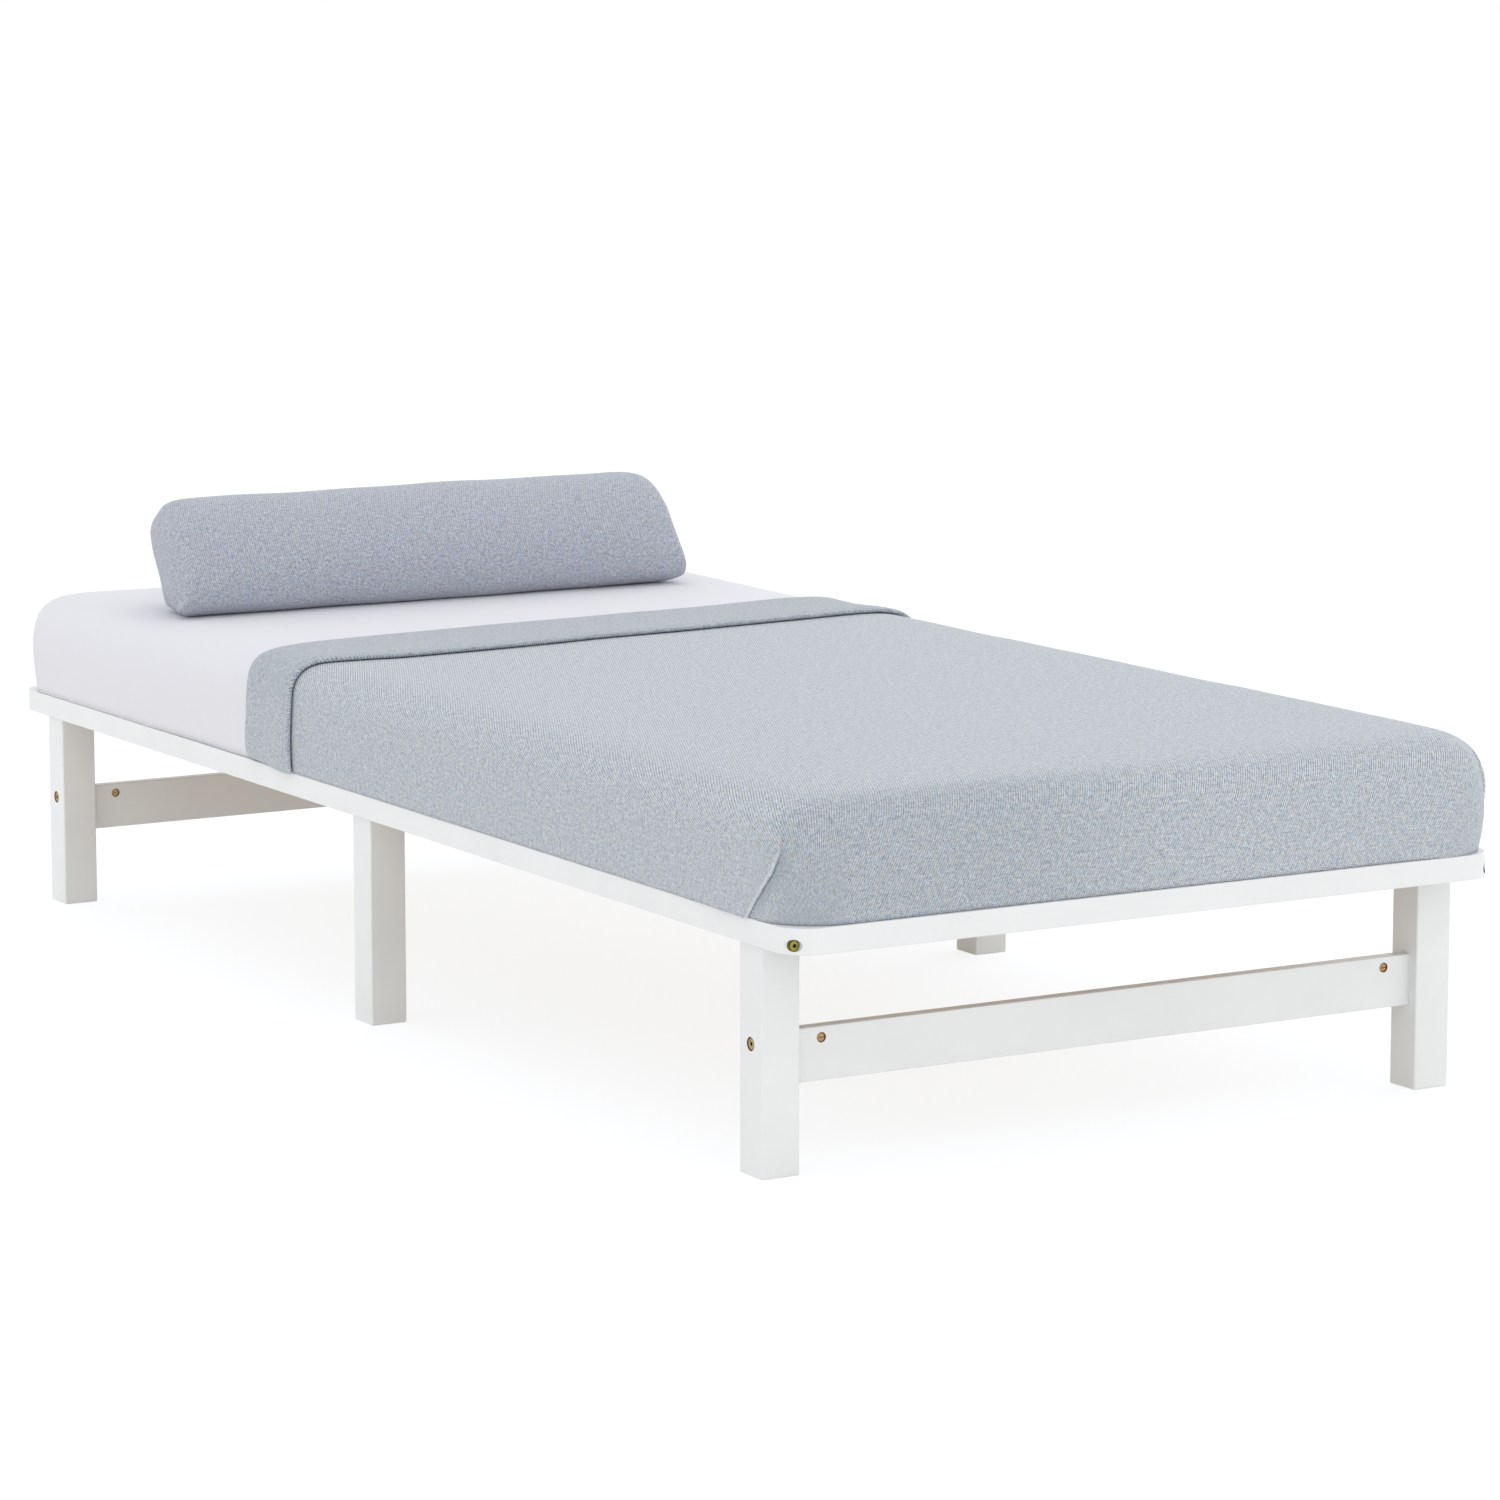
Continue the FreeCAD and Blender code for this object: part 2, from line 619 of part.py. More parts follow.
def mattress_form(grow):
    """The crowned mattress with drawn-in sides, or with grow the same form under a layer of cloth."""
    half_across = half_width - size("mattress_set_in_at_sides") + grow
    half_along = half_length - size("mattress_set_in_at_ends") + grow
    thickness = size("mattress_thickness") + grow
    sections = []
    for shares, draw in (
        (MATTRESS_LOW_SHARES, size("mattress_bottom_draw")),
        (MATTRESS_HIGH_SHARES, size("mattress_top_draw")),
    ):
        for height_share, draw_share in shares:
            inset = draw * draw_share
            radius = size("mattress_corner_radius") + grow - inset * CORNER_SHRINK_SHARE
            up = rail_top + thickness * height_share
            sections.append(rounded_section(half_across - inset, half_along - inset, radius, up))
    return Part.makeLoft(sections, True, False)


def cloth_over_mattress(inner, outer, low_along, high_along):
    """A skin over the mattress between two places along the bed, open underneath."""
    reach = size("frame_width")
    block = Part.makeBox(
        2 * reach, high_along - low_along, reach, FreeCAD.Vector(-reach, low_along, rail_top + gap)
    )
    return mattress_form(outer).cut(mattress_form(inner)).common(block)


def solid_of(shape):
    return shape.Solids[0] if len(shape.Solids) == 1 else shape


def make_bedding():
    sheet_inner = gap
    sheet_outer = sheet_inner + size("fitted_sheet_thickness")
    blanket_inner = sheet_outer + gap
    blanket_outer = blanket_inner + size("blanket_thickness")
    turnback_outer = blanket_outer + size("turnback_thickness")
    beyond = size("frame_length")
    add_group("mattress", [mattress_form(0)])
    add_group("fitted_sheet", [solid_of(cloth_over_mattress(sheet_inner, sheet_outer, -beyond, beyond))])
    head_edge = size("blanket_head_edge")
    main = cloth_over_mattress(blanket_inner, blanket_outer, -beyond, head_edge)
    band = cloth_over_mattress(
        blanket_inner, turnback_outer, head_edge - size("turnback_width"), head_edge
    )
    add_group("blanket", [solid_of(main.fuse(band).removeSplitter())])


def bolster_section(across, scale, base_up):
    """One upright section of the bolster: flat underneath, full at the front and back."""
    deep, high = size("bolster_depth") * scale, size("bolster_height") * scale
    base = size("bolster_base_width") * scale
    lift = base_up + (size("bolster_height") - high) * BOLSTER_SIDE_HEIGHT_SHARE
    side_up = high * BOLSTER_SIDE_HEIGHT_SHARE
    shoulder_out, shoulder_up = BOLSTER_SHOULDER_SHARES
    foot_out, foot_up = BOLSTER_FOOT_SHARES

    def point(out, up):
        return FreeCAD.Vector(across, size("bolster_centre_along") + out, lift + up)

    foot_point = (deep / 2 * foot_out, side_up * foot_up)
    front = [
        Part.Arc(
            point(-base / 2, 0), point(-foot_point[0], foot_point[1]), point(-deep / 2, side_up)
        ),
        Part.Arc(
            point(-deep / 2, side_up), point(-deep / 2 * shoulder_out, high * shoulder_up), point(0, high)
        ),
    ]
    back = [
        Part.Arc(
            point(0, high), point(deep / 2 * shoulder_out, high * shoulder_up), point(deep / 2, side_up)
        ),
        Part.Arc(point(deep / 2, side_up), point(foot_point[0], foot_point[1]), point(base / 2, 0)),
    ]
    edges = [arc.toShape() for arc in front + back]
    edges.append(Part.makeLine(point(base / 2, 0), point(-base / 2, 0)))
    return Part.Wire(edges)


def make_bolster():
    """A stuffed roll lying across the head end, its ends softly rounded."""
    base_up = rail_top + size("mattress_thickness") + size("fitted_sheet_thickness") + 2 * gap
    half = size("bolster_length") / 2
    draw = size("bolster_end_draw")
    stations = [(-half + draw * share, scale) for share, scale in BOLSTER_END_SHARES]
    stations += [(-place, scale) for place, scale in reversed(stations)]
    middle = size("bolster_centre_across")
    wires = [bolster_section(middle + place, scale, base_up) for place, scale in stations]
    add_group("bolster", [Part.makeLoft(wires, True, False)])


def make_frame():
    make_end_rail("foot_rail", -1)
    make_end_rail("head_rail", 1)
    for word, side in SIDES:
        make_side_rail("side_rail_" + word, side)
        make_ledger("ledger_" + word, side)
        for end_word, end in ENDS:
            formula = "%d * ( frame_length / 2 - leg_set_back - leg_side / 2 )" % end
            make_leg("leg_%s_%s" % (end_word, word), side, formula, end * end_leg_along, True)
        make_leg("leg_mid_" + word, side, "0", 0, False)
    for word, end in ENDS:
        make_stretcher(word + "_stretcher", end)
    make_mid_cross_rail("mid_cross_rail")
    for number in range(int(size("slat_count"))):
        make_slat("slat_%02d" % (number + 1), number)


make_frame()
make_corner_bolts()
make_stretcher_bolts()
make_screws_and_dowels()
make_bedding()
make_bolster()
doc.recompute()

for item in doc.Objects:
    if "Invalid" in item.State or "Error" in item.State:
        raise ValueError("%s failed: %s" % (item.Name, item.State))
for node in nodes:
    if node.Shape.isNull() or not node.Shape.isValid():
        raise ValueError(node.Label + " has no valid shape")

os.makedirs("parts", exist_ok=True)
for node in nodes:
    node.Shape.exportStep("parts/%s.step" % node.Label)
    print(node.Label, "solids", len(node.Shape.Solids), "volume", round(node.Shape.Volume))
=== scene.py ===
"""A low single bed: white wooden frame, fitted sheet, blanket with a turned-back band, bolster."""

import math

import bmesh
import bpy
import numpy as np
from bpy.props import FloatProperty, FloatVectorProperty, IntProperty, PointerProperty
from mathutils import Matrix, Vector


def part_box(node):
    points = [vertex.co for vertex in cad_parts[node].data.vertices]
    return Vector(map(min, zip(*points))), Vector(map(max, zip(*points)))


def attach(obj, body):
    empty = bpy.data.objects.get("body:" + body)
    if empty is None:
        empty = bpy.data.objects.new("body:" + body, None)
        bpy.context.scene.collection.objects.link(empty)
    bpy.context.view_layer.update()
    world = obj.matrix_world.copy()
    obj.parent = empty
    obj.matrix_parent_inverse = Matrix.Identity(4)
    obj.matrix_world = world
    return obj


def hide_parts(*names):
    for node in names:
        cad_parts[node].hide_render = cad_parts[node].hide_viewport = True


bl_info = {
    "name": "Pallet Bed",
    "version": (1, 0, 0),
    "blender": (4, 5, 0),
    "location": "View3D > Sidebar > Pallet Bed",
    "description": "Dresses a slatted single bed frame with mattress, sheet, blanket and bolster",
    "category": "Object",
}

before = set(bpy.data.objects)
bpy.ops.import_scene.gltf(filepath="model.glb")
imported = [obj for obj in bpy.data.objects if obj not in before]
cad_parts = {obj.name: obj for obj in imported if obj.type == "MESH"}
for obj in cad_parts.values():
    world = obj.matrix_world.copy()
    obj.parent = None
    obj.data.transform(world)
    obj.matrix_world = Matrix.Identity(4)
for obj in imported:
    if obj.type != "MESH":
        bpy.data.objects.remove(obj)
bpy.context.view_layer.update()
RAIL_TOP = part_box("foot_rail")[1].z
MATTRESS_LOW, MATTRESS_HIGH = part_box("mattress")


# ---- Settings a user would change -----------------------------------------------------------


def length(name, description, default, low=0.0, high=3.0):
    return FloatProperty(
        name=name, description=description, default=default, min=low, max=high, unit="LENGTH"
    )


def colour(name, description, default):
    return FloatVectorProperty(
        name=name, description=description, default=default, subtype="COLOR", size=3, min=0, max=1
    )


def share(name, description, default):
    return FloatProperty(
        name=name, description=description, default=default, min=0, max=1, subtype="FACTOR"
    )


def amount(name, description, default, low, high):
    return FloatProperty(name=name, description=description, default=default, min=low, max=high)


def lamp_power(name, description, default):
    return amount(name, description, default, 0, 2000)


class FrameFinish(bpy.types.PropertyGroup):
    paint: colour("Paint", "Satin white paint on the frame", (0.828, 0.842, 0.848))
    wood: colour("Slat Wood", "Planed softwood of the slatted base", (0.74, 0.53, 0.29))
    late_wood: colour("Late Wood", "Darker rings in the softwood", (0.42, 0.26, 0.12))
    bore_wood: colour("Bare Bore", "Raw wood inside the bolt holes", (0.33, 0.12, 0.04))
    yellow_zinc: colour("Yellow Zinc", "Bolts in the legs", (0.50, 0.36, 0.19))
    green_zinc: colour("Green Zinc", "Bolts in the corners of the end rails", (0.36, 0.27, 0.05))
    copper_zinc: colour("Copper Zinc", "Barrel nuts", (0.46, 0.24, 0.12))
    bright_zinc: colour("Bright Zinc", "Wood screws", (0.62, 0.63, 0.65))
    grain_pitch: length("Grain Pitch", "Width of one streak of wood grain", 0.006, 0.001, 0.05)
    recess: length("Screw Recess", "Half length of the cross in a screw head", 0.0021, 0.0005, 0.01)


class MattressForm(bpy.types.PropertyGroup):
    crown: length("Crown", "How far the rounded edge reaches in over the top", 0.118, 0.02, 0.3)
    corner: length("Corner Radius", "Plan radius of the mattress corners", 0.062, 0.01, 0.3)


class SheetLook(bpy.types.PropertyGroup):
    step: length("Mesh Step", "Grid size of the sheet", 0.010, 0.004, 0.03)
    thickness: length("Thickness", "Thickness of the cotton", 0.0008, 0.0003, 0.003)
    crease: length("Crease Height", "Height of the soft creases", 0.0022, 0.0, 0.01)
    cotton: colour("Cotton", "Cool white cotton", (0.78, 0.785, 0.83))
    pitch: length("Weave Pitch", "Thread spacing of the cotton", 0.0006, 0.0002, 0.003)


class BlanketLook(bpy.types.PropertyGroup):
    step: length("Mesh Step", "Grid size of the blanket's flat middle", 0.0086, 0.004, 0.03)
    fine_step: length("Fine Step", "Grid size at the edges and corners", 0.0034, 0.002, 0.03)
    thickness: length("Thickness", "Thickness of the woven cloth", 0.0026, 0.0005, 0.006)
    roll: length("Roll Height", "Height of the band's rolled edge", 0.0060, 0.002, 0.02)
    flap: length("Corner Flap", "How far the folded corner stands out", 0.0040, 0, 0.01)
    hem_rise: length("Hem Rise", "Height of the head edge's hem over the rail", 0.003, 0, 0.05)
    pitch: length("Twill Pitch", "Distance between two ribs of the twill", 0.0030, 0.0005, 0.01)
    lean: amount("Twill Lean", "Slope of the ribs against the cloth", -0.48, -2, 2)
    light_yarn: colour("Light Yarn", "Lighter yarn of the heather", (0.832, 0.866, 0.905))
    dark_yarn: colour("Dark Yarn", "Darker yarn of the heather", (0.105, 0.15, 0.20))
    stitch_pitch: length("Stitch Pitch", "Distance between two hem stitches", 0.0045, 0.001, 0.02)


class BolsterForm(bpy.types.PropertyGroup):
    voxel: length("Voxel", "Remesh size before the cloth simulation", 0.005, 0.003, 0.01)
    swell: length("Swell Cap", "How far the filling may push the cover out", 0.006, 0.0, 0.03)
    shrink: length("Start Inset", "How much smaller the cover starts", 0.003, 0.0, 0.02)
    end_draw: length("End Draw", "How far the filling draws each end in", 0.045, 0.0, 0.08)
    lean: amount("Lean", "Slope with which the roll leans back", 0.28, -1, 1)
    pressure: amount("Pressure", "Filling pressure in the cloth simulation", 4.0, 0, 20)
    light_yarn: colour("Light Yarn", "Lighter yarn of the cover", (0.74, 0.765, 0.82))
    dark_yarn: colour("Dark Yarn", "Darker yarn of the cover", (0.10, 0.125, 0.195))


class StudioLight(bpy.types.PropertyGroup):
    surround: lamp_power("Surround", "Even light from all sides, as a world strength", 0.98)
    key: lamp_power("Key", "Power of the low lamp in front", 10)
    side: lamp_power("Side", "Power of the large lamp to the left", 12)
    rim: lamp_power("Rim", "Power of the large lamp to the right, behind the bed", 40)
    top: lamp_power("Top", "Power of the lamp above the bed", 8)
    floor: colour("Floor", "Floor for the light that it sends up", (0.923, 0.92, 0.912))
    floor_seen: colour("Floor Shadow", "Floor as the camera sees it", (0.235, 0.26, 0.29))
    floor_lift: share("Floor Lift", "White added where the camera sees the floor", 0.80)
    lens: amount("Lens", "Focal length on a 36 mm sensor, in mm", 130.88, 10, 500)
    seed: IntProperty(name="Seed", description="Seed of the small random turns", default=7)


SETTINGS = {
    "bed_frame": FrameFinish,
    "bed_mattress": MattressForm,
    "bed_sheet": SheetLook,
    "bed_blanket": BlanketLook,
    "bed_bolster": BolsterForm,
    "bed_studio": StudioLight,
}


# ---- Node trees -----------------------------------------------------------------------------


def set_inputs(tree, node, inputs):
    """Gives each named input its value, or links it where the value is a socket."""
    for key, value in inputs.items():
        if isinstance(value, bpy.types.NodeSocket):
            tree.links.new(value, node.inputs[key])
        else:
            node.inputs[key].default_value = value


def add_node(tree, kind, inputs=(), **settings):
    """A node with its settings and its inputs, each a value or a socket to link from."""
    made = tree.nodes.new(kind)
    for key, value in settings.items():
        setattr(made, key, value)
    set_inputs(tree, made, dict(inputs))
    return made


def calc(tree, operation, *values):
    made = add_node(tree, "ShaderNodeMath", dict(enumerate(values)), operation=operation)
    return made.outputs[0]


def times(tree, first, second):
    return calc(tree, "MULTIPLY", first, second)


def plus(tree, first, second):
    return calc(tree, "ADD", first, second)


def vector_calc(tree, operation, *values):
    made = add_node(tree, "ShaderNodeVectorMath", dict(enumerate(values)), operation=operation)
    return made.outputs["Value"] if operation == "LENGTH" else made.outputs["Vector"]


def blend_colour(tree, factor, first, second):
    """A colour mix. Each of the two is a socket or a plain red, green and blue."""
    first, second = (
        tone if isinstance(tone, bpy.types.NodeSocket) else (*tone[:3], 1)
        for tone in (first, second)
    )
    mixed = add_node(tree, "ShaderNodeMix", {0: factor, 6: first, 7: second}, data_type="RGBA")
    return mixed.outputs[2]


def fit_range(tree, value, low, high, to_low=0.0, to_high=1.0, smooth=False):
    made = add_node(
        tree, "ShaderNodeMapRange", {0: value, 1: low, 2: high, 3: to_low, 4: to_high},
        interpolation_type="SMOOTHSTEP" if smooth else "LINEAR",
    )
    return made.outputs[0]


def noise(tree, vector, scale, detail=3.0, roughness=0.55):
    made = add_node(
        tree, "ShaderNodeTexNoise",
        {"Vector": vector, "Scale": scale, "Detail": detail, "Roughness": roughness},
    )
    return made.outputs[0]


def node_group(name, inputs, outputs, build, kind="ShaderNodeTree"):
    """A node group, built once, whose inputs and outputs are named here."""
    if name in bpy.data.node_groups:
        return bpy.data.node_groups[name]
    tree = bpy.data.node_groups.new(name, kind)
    for label, form, default in inputs:
        socket = tree.interface.new_socket(
            name=label, in_out="INPUT", socket_type="NodeSocket" + form
        )
        if default is not None:
            socket.default_value = default
    for label, form in outputs:
        tree.interface.new_socket(name=label, in_out="OUTPUT", socket_type="NodeSocket" + form)
    given = tree.nodes.new("NodeGroupInput").outputs
    leave = tree.nodes.new("NodeGroupOutput")
    set_inputs(tree, leave, build(tree, given))
    return tree


def wood_grain_group():
    """Streaks and rings of softwood. The vector is already squeezed along the grain."""

    def build(tree, given):
        scale = calc(tree, "DIVIDE", 1.0, given["Pitch"])
        streaks = noise(tree, given["Vector"], scale, 5.0, 0.6)
        broad = noise(tree, given["Vector"], times(tree, scale, 0.16), 2.0)
        rings = calc(tree, "SINE", times(tree, broad, 46.0))
        rings = fit_range(tree, rings, -1.0, 1.0)
        both = plus(tree, times(tree, rings, 0.55), times(tree, streaks, 0.45))
        return {"Rings": both, "Streaks": streaks}

    return node_group(
        "Softwood Grain",
        (("Vector", "Vector", None), ("Pitch", "Float", 0.006)),
        (("Rings", "Float"), ("Streaks", "Float")),
        build,
    )


def bore_mask_group():
    """1 inside round holes that mirror across the bed, 0 on the painted faces round them."""

    def build(tree, given):
        folded = vector_calc(tree, "ABSOLUTE", given["Vector"])
        away = vector_calc(tree, "SUBTRACT", folded, given["Centre"])
        flat = vector_calc(tree, "MULTIPLY", away, given["Across"])
        distance = vector_calc(tree, "LENGTH", flat)
        return {"Mask": calc(tree, "LESS_THAN", distance, given["Radius"]), "Distance": distance}

    return node_group(
        "Bored Hole",
        (
            ("Vector", "Vector", None), ("Centre", "Vector", None), ("Across", "Vector", None),
            ("Radius", "Float", 0.006),
        ),
        (("Mask", "Float"), ("Distance", "Float")),
        build,
    )


def twill_group():
    """Leaning ribs crossed by finer threads, with the flecks of a heathered yarn."""

    def build(tree, given):
        parts = add_node(tree, "ShaderNodeSeparateXYZ", {0: given["Vector"]})
        across, along = parts.outputs[0], parts.outputs[1]
        slope = times(tree, along, given["Lean"])
        turns = calc(tree, "DIVIDE", plus(tree, across, slope), given["Pitch"])
        ribs = calc(tree, "SINE", times(tree, turns, math.tau))
        weft = calc(tree, "DIVIDE", along, times(tree, given["Pitch"], 0.62))
        weft = calc(tree, "SINE", times(tree, weft, math.tau))
        relief = plus(tree, times(tree, ribs, 0.36), times(tree, weft, 0.14))
        relief = plus(tree, relief, 0.5)
        per_metre = calc(tree, "DIVIDE", 1.0, given["Pitch"])
        fleck = noise(tree, given["Vector"], times(tree, per_metre, 1.2), 2.0, 0.8)
        fleck = fit_range(tree, fleck, 0.40, 0.60)
        heather = noise(tree, given["Vector"], times(tree, per_metre, 0.78), 2.0, 0.75)
        heather = fit_range(tree, heather, 0.42, 0.58)
        rest = calc(tree, "SUBTRACT", 1.0, given["Rib Contrast"])
        yarn = times(tree, relief, given["Rib Contrast"])
        flecks = [(fleck, 0.36), (heather, 0.30)]
        for squeeze in ((0.22, 1.0, 1.0), (1.0, 0.25, 1.0)):
            drawn = squeezed(tree, given["Vector"], squeeze)
            slub = noise(tree, drawn, times(tree, per_metre, 0.9), 2.0, 0.7)
            flecks.append((fit_range(tree, slub, 0.38, 0.62), 0.18))
        for value, weight in flecks:
            yarn = plus(tree, yarn, times(tree, value, times(tree, rest, weight)))
        return {"Yarn": yarn, "Relief": relief, "Fleck": fleck}

    return node_group(
        "Heathered Twill",
        (
            ("Vector", "Vector", None), ("Pitch", "Float", 0.0027), ("Lean", "Float", 0.4),
            ("Rib Contrast", "Float", 0.35),
        ),
        (("Yarn", "Float"), ("Relief", "Float"), ("Fleck", "Float")),
        build,
    )


def plain_weave_group():
    """Over-and-under threads of a plain cotton."""

    def build(tree, given):
        parts = add_node(tree, "ShaderNodeSeparateXYZ", {0: given["Vector"]})
        turn = calc(tree, "DIVIDE", math.tau, given["Pitch"])
        warp = calc(tree, "SINE", times(tree, parts.outputs[0], turn))
        weft = calc(tree, "SINE", times(tree, parts.outputs[1], turn))
        threads = times(tree, warp, weft)
        slub = noise(tree, given["Vector"], 240.0, 4.0, 0.7)
        return {"Relief": plus(tree, times(tree, threads, 0.3), slub), "Slub": slub}

    return node_group(
        "Plain Cotton Weave",
        (("Vector", "Vector", None), ("Pitch", "Float", 0.0006)),
        (("Relief", "Float"), ("Slub", "Float")),
        build,
    )


def new_material(name):
    """An empty node material with a Principled shader joined to its output."""
    material = bpy.data.materials.new(name)
    material.use_nodes = True
    tree = material.node_tree
    tree.nodes.clear()
    shader = tree.nodes.new("ShaderNodeBsdfPrincipled")
    output = tree.nodes.new("ShaderNodeOutputMaterial")
    tree.links.new(shader.outputs[0], output.inputs[0])
    return material, tree, shader


def use_group(tree, group, **inputs):
    named = {key.replace("_", " "): value for key, value in inputs.items()}
    return add_node(tree, "ShaderNodeGroup", named, node_tree=group)


def set_bump(tree, shader, height, distance, strength):
    relief = {"Height": height, "Distance": distance, "Strength": strength}
    set_inputs(tree, shader, {"Normal": add_node(tree, "ShaderNodeBump", relief).outputs[0]})


def squeezed(tree, vector, squeeze):
    return add_node(tree, "ShaderNodeMapping", {"Vector": vector, "Scale": squeeze}).outputs[0]


def object_vector(tree, squeeze=None):
    place = tree.nodes.new("ShaderNodeTexCoord").outputs["Object"]
    return squeezed(tree, place, squeeze) if squeeze else place


def cloth_vector(tree):
    return add_node(tree, "ShaderNodeUVMap", uv_map="cloth").outputs[0]


# How a node's own axes are squeezed to draw the grain out along one of them.
ALONG = {"across": (0.045, 1, 1), "lengthways": (1, 0.045, 1), "upright": (1, 1, 0.045)}

# What the blanket's mesh tells its material: the distance past the folded corner's edge in metres
# and how near it is, along which the material paints a highlight and shade, and the painted shade
# on the foot face and the turned-back band.
FOLD_FIELDS = ("fold_past", "fold_near", "painted_cloth_shade")


def painted_wood(name, grain, centre=None, across=(1, 0, 1), radius=0.0, pale_left_bores=False):
    """Satin white paint that lets a little grain through, with raw wood inside the bolt holes.

    If asked, the holes on the left take the paint's colour, a tenth darker, in place of raw wood."""
    finish = bpy.context.scene.bed_frame
    material, tree, shader = new_material(name)
    drawn = object_vector(tree, ALONG[grain])
    streak = use_group(tree, wood_grain_group(), Vector=drawn, Pitch=finish.grain_pitch)
    place = object_vector(tree)
    brushed = noise(tree, drawn, 900.0, 2.0, 0.5)
    mottled = fit_range(tree, noise(tree, place, 9.0, 3.0), 0.35, 0.65)
    paint = Vector(finish.paint)
    tone = blend_colour(tree, mottled, paint * 0.975, paint * 1.012)
    tone = blend_colour(tree, times(tree, streak.outputs["Streaks"], 0.10), tone, paint * 0.93)
    sheen = fit_range(tree, brushed, 0.3, 0.7, 0.34, 0.44)
    height = plus(tree, streak.outputs["Rings"], times(tree, brushed, 0.5))
    if centre:
        bore = use_group(
            tree, bore_mask_group(), Vector=place, Centre=centre, Across=across, Radius=radius
        )
        raw = Vector(finish.bore_wood)
        raw = blend_colour(tree, streak.outputs["Streaks"], raw * 0.6, raw)
        # Holes on the left: the paint's colour, a tenth darker, instead of raw wood.
        if pale_left_bores:
            where = add_node(tree, "ShaderNodeSeparateXYZ", {0: place}).outputs[0]
            raw = blend_colour(tree, calc(tree, "GREATER_THAN", where, 0.0), paint * 0.9, raw)
        tone = blend_colour(tree, bore.outputs["Mask"], tone, raw)
        sheen = plus(tree, sheen, times(tree, bore.outputs["Mask"], 0.4))
    look = {"Base Color": tone, "Roughness": sheen, "Coat Weight": 0.12, "Coat Roughness": 0.3}
    set_inputs(tree, shader, look)
    set_bump(tree, shader, height, 0.00007, 0.5)
    return material


def bare_wood(name, grain, tint=1.0):
    """Planed softwood with rings, streaks and small pores."""
    finish = bpy.context.scene.bed_frame
    material, tree, shader = new_material(name)
    drawn = object_vector(tree, ALONG[grain])
    streak = use_group(tree, wood_grain_group(), Vector=drawn, Pitch=finish.grain_pitch)
    pores = fit_range(tree, noise(tree, drawn, 1400.0, 2.0), 0.60, 0.72)
    early, late = Vector(finish.wood) * tint, Vector(finish.late_wood) * tint
    tone = blend_colour(tree, times(tree, streak.outputs["Rings"], 0.62), early, late)
    tone = blend_colour(tree, times(tree, pores, 0.35), tone, late * 0.7)
    rough = fit_range(tree, streak.outputs["Streaks"], 0.3, 0.7, 0.5, 0.7)
    set_inputs(tree, shader, {"Base Color": tone, "Roughness": rough})
    set_bump(tree, shader, streak.outputs["Rings"], 0.0002, 0.6)
    return material


def plated_metal(name, tint, warm=None, centre=None, across=(1, 0, 1), socket=0.0, rim=0.006):
    """Zinc plating with a faint drift of colour and slight wear, and painted shade in its socket
    and round the rim of its head.
    """
    material, tree, shader = new_material(name)
    place = object_vector(tree)
    drift = fit_range(tree, noise(tree, place, 160.0, 3.0), 0.35, 0.65)
    tint = Vector(tint)
    tone = blend_colour(tree, drift, tint, Vector(warm) if warm else tint * 0.8)
    worn = fit_range(tree, noise(tree, place, 900.0, 4.0, 0.7), 0.62, 0.72)
    tone = blend_colour(tree, worn, tone, tint * 0.45)
    if centre:
        bore = use_group(
            tree, bore_mask_group(), Vector=place, Centre=centre, Across=across, Radius=socket
        )
        # Painted shade: the head darkens towards its rim, and darker still inside its socket.
        edge = fit_range(tree, bore.outputs["Distance"], rim * 0.74, rim * 0.97, 0.0, 0.85)
        tone = blend_colour(tree, edge, tone, tint * 0.18)
        tone = blend_colour(tree, times(tree, bore.outputs["Mask"], 0.9), tone, tint * 0.05)
    rough = fit_range(tree, drift, 0.0, 1.0, 0.28, 0.46)
    set_inputs(tree, shader, {"Base Color": tone, "Roughness": rough, "Metallic": 1.0})
    set_bump(tree, shader, noise(tree, place, 2600.0, 2.0), 0.00003, 0.5)
    return material


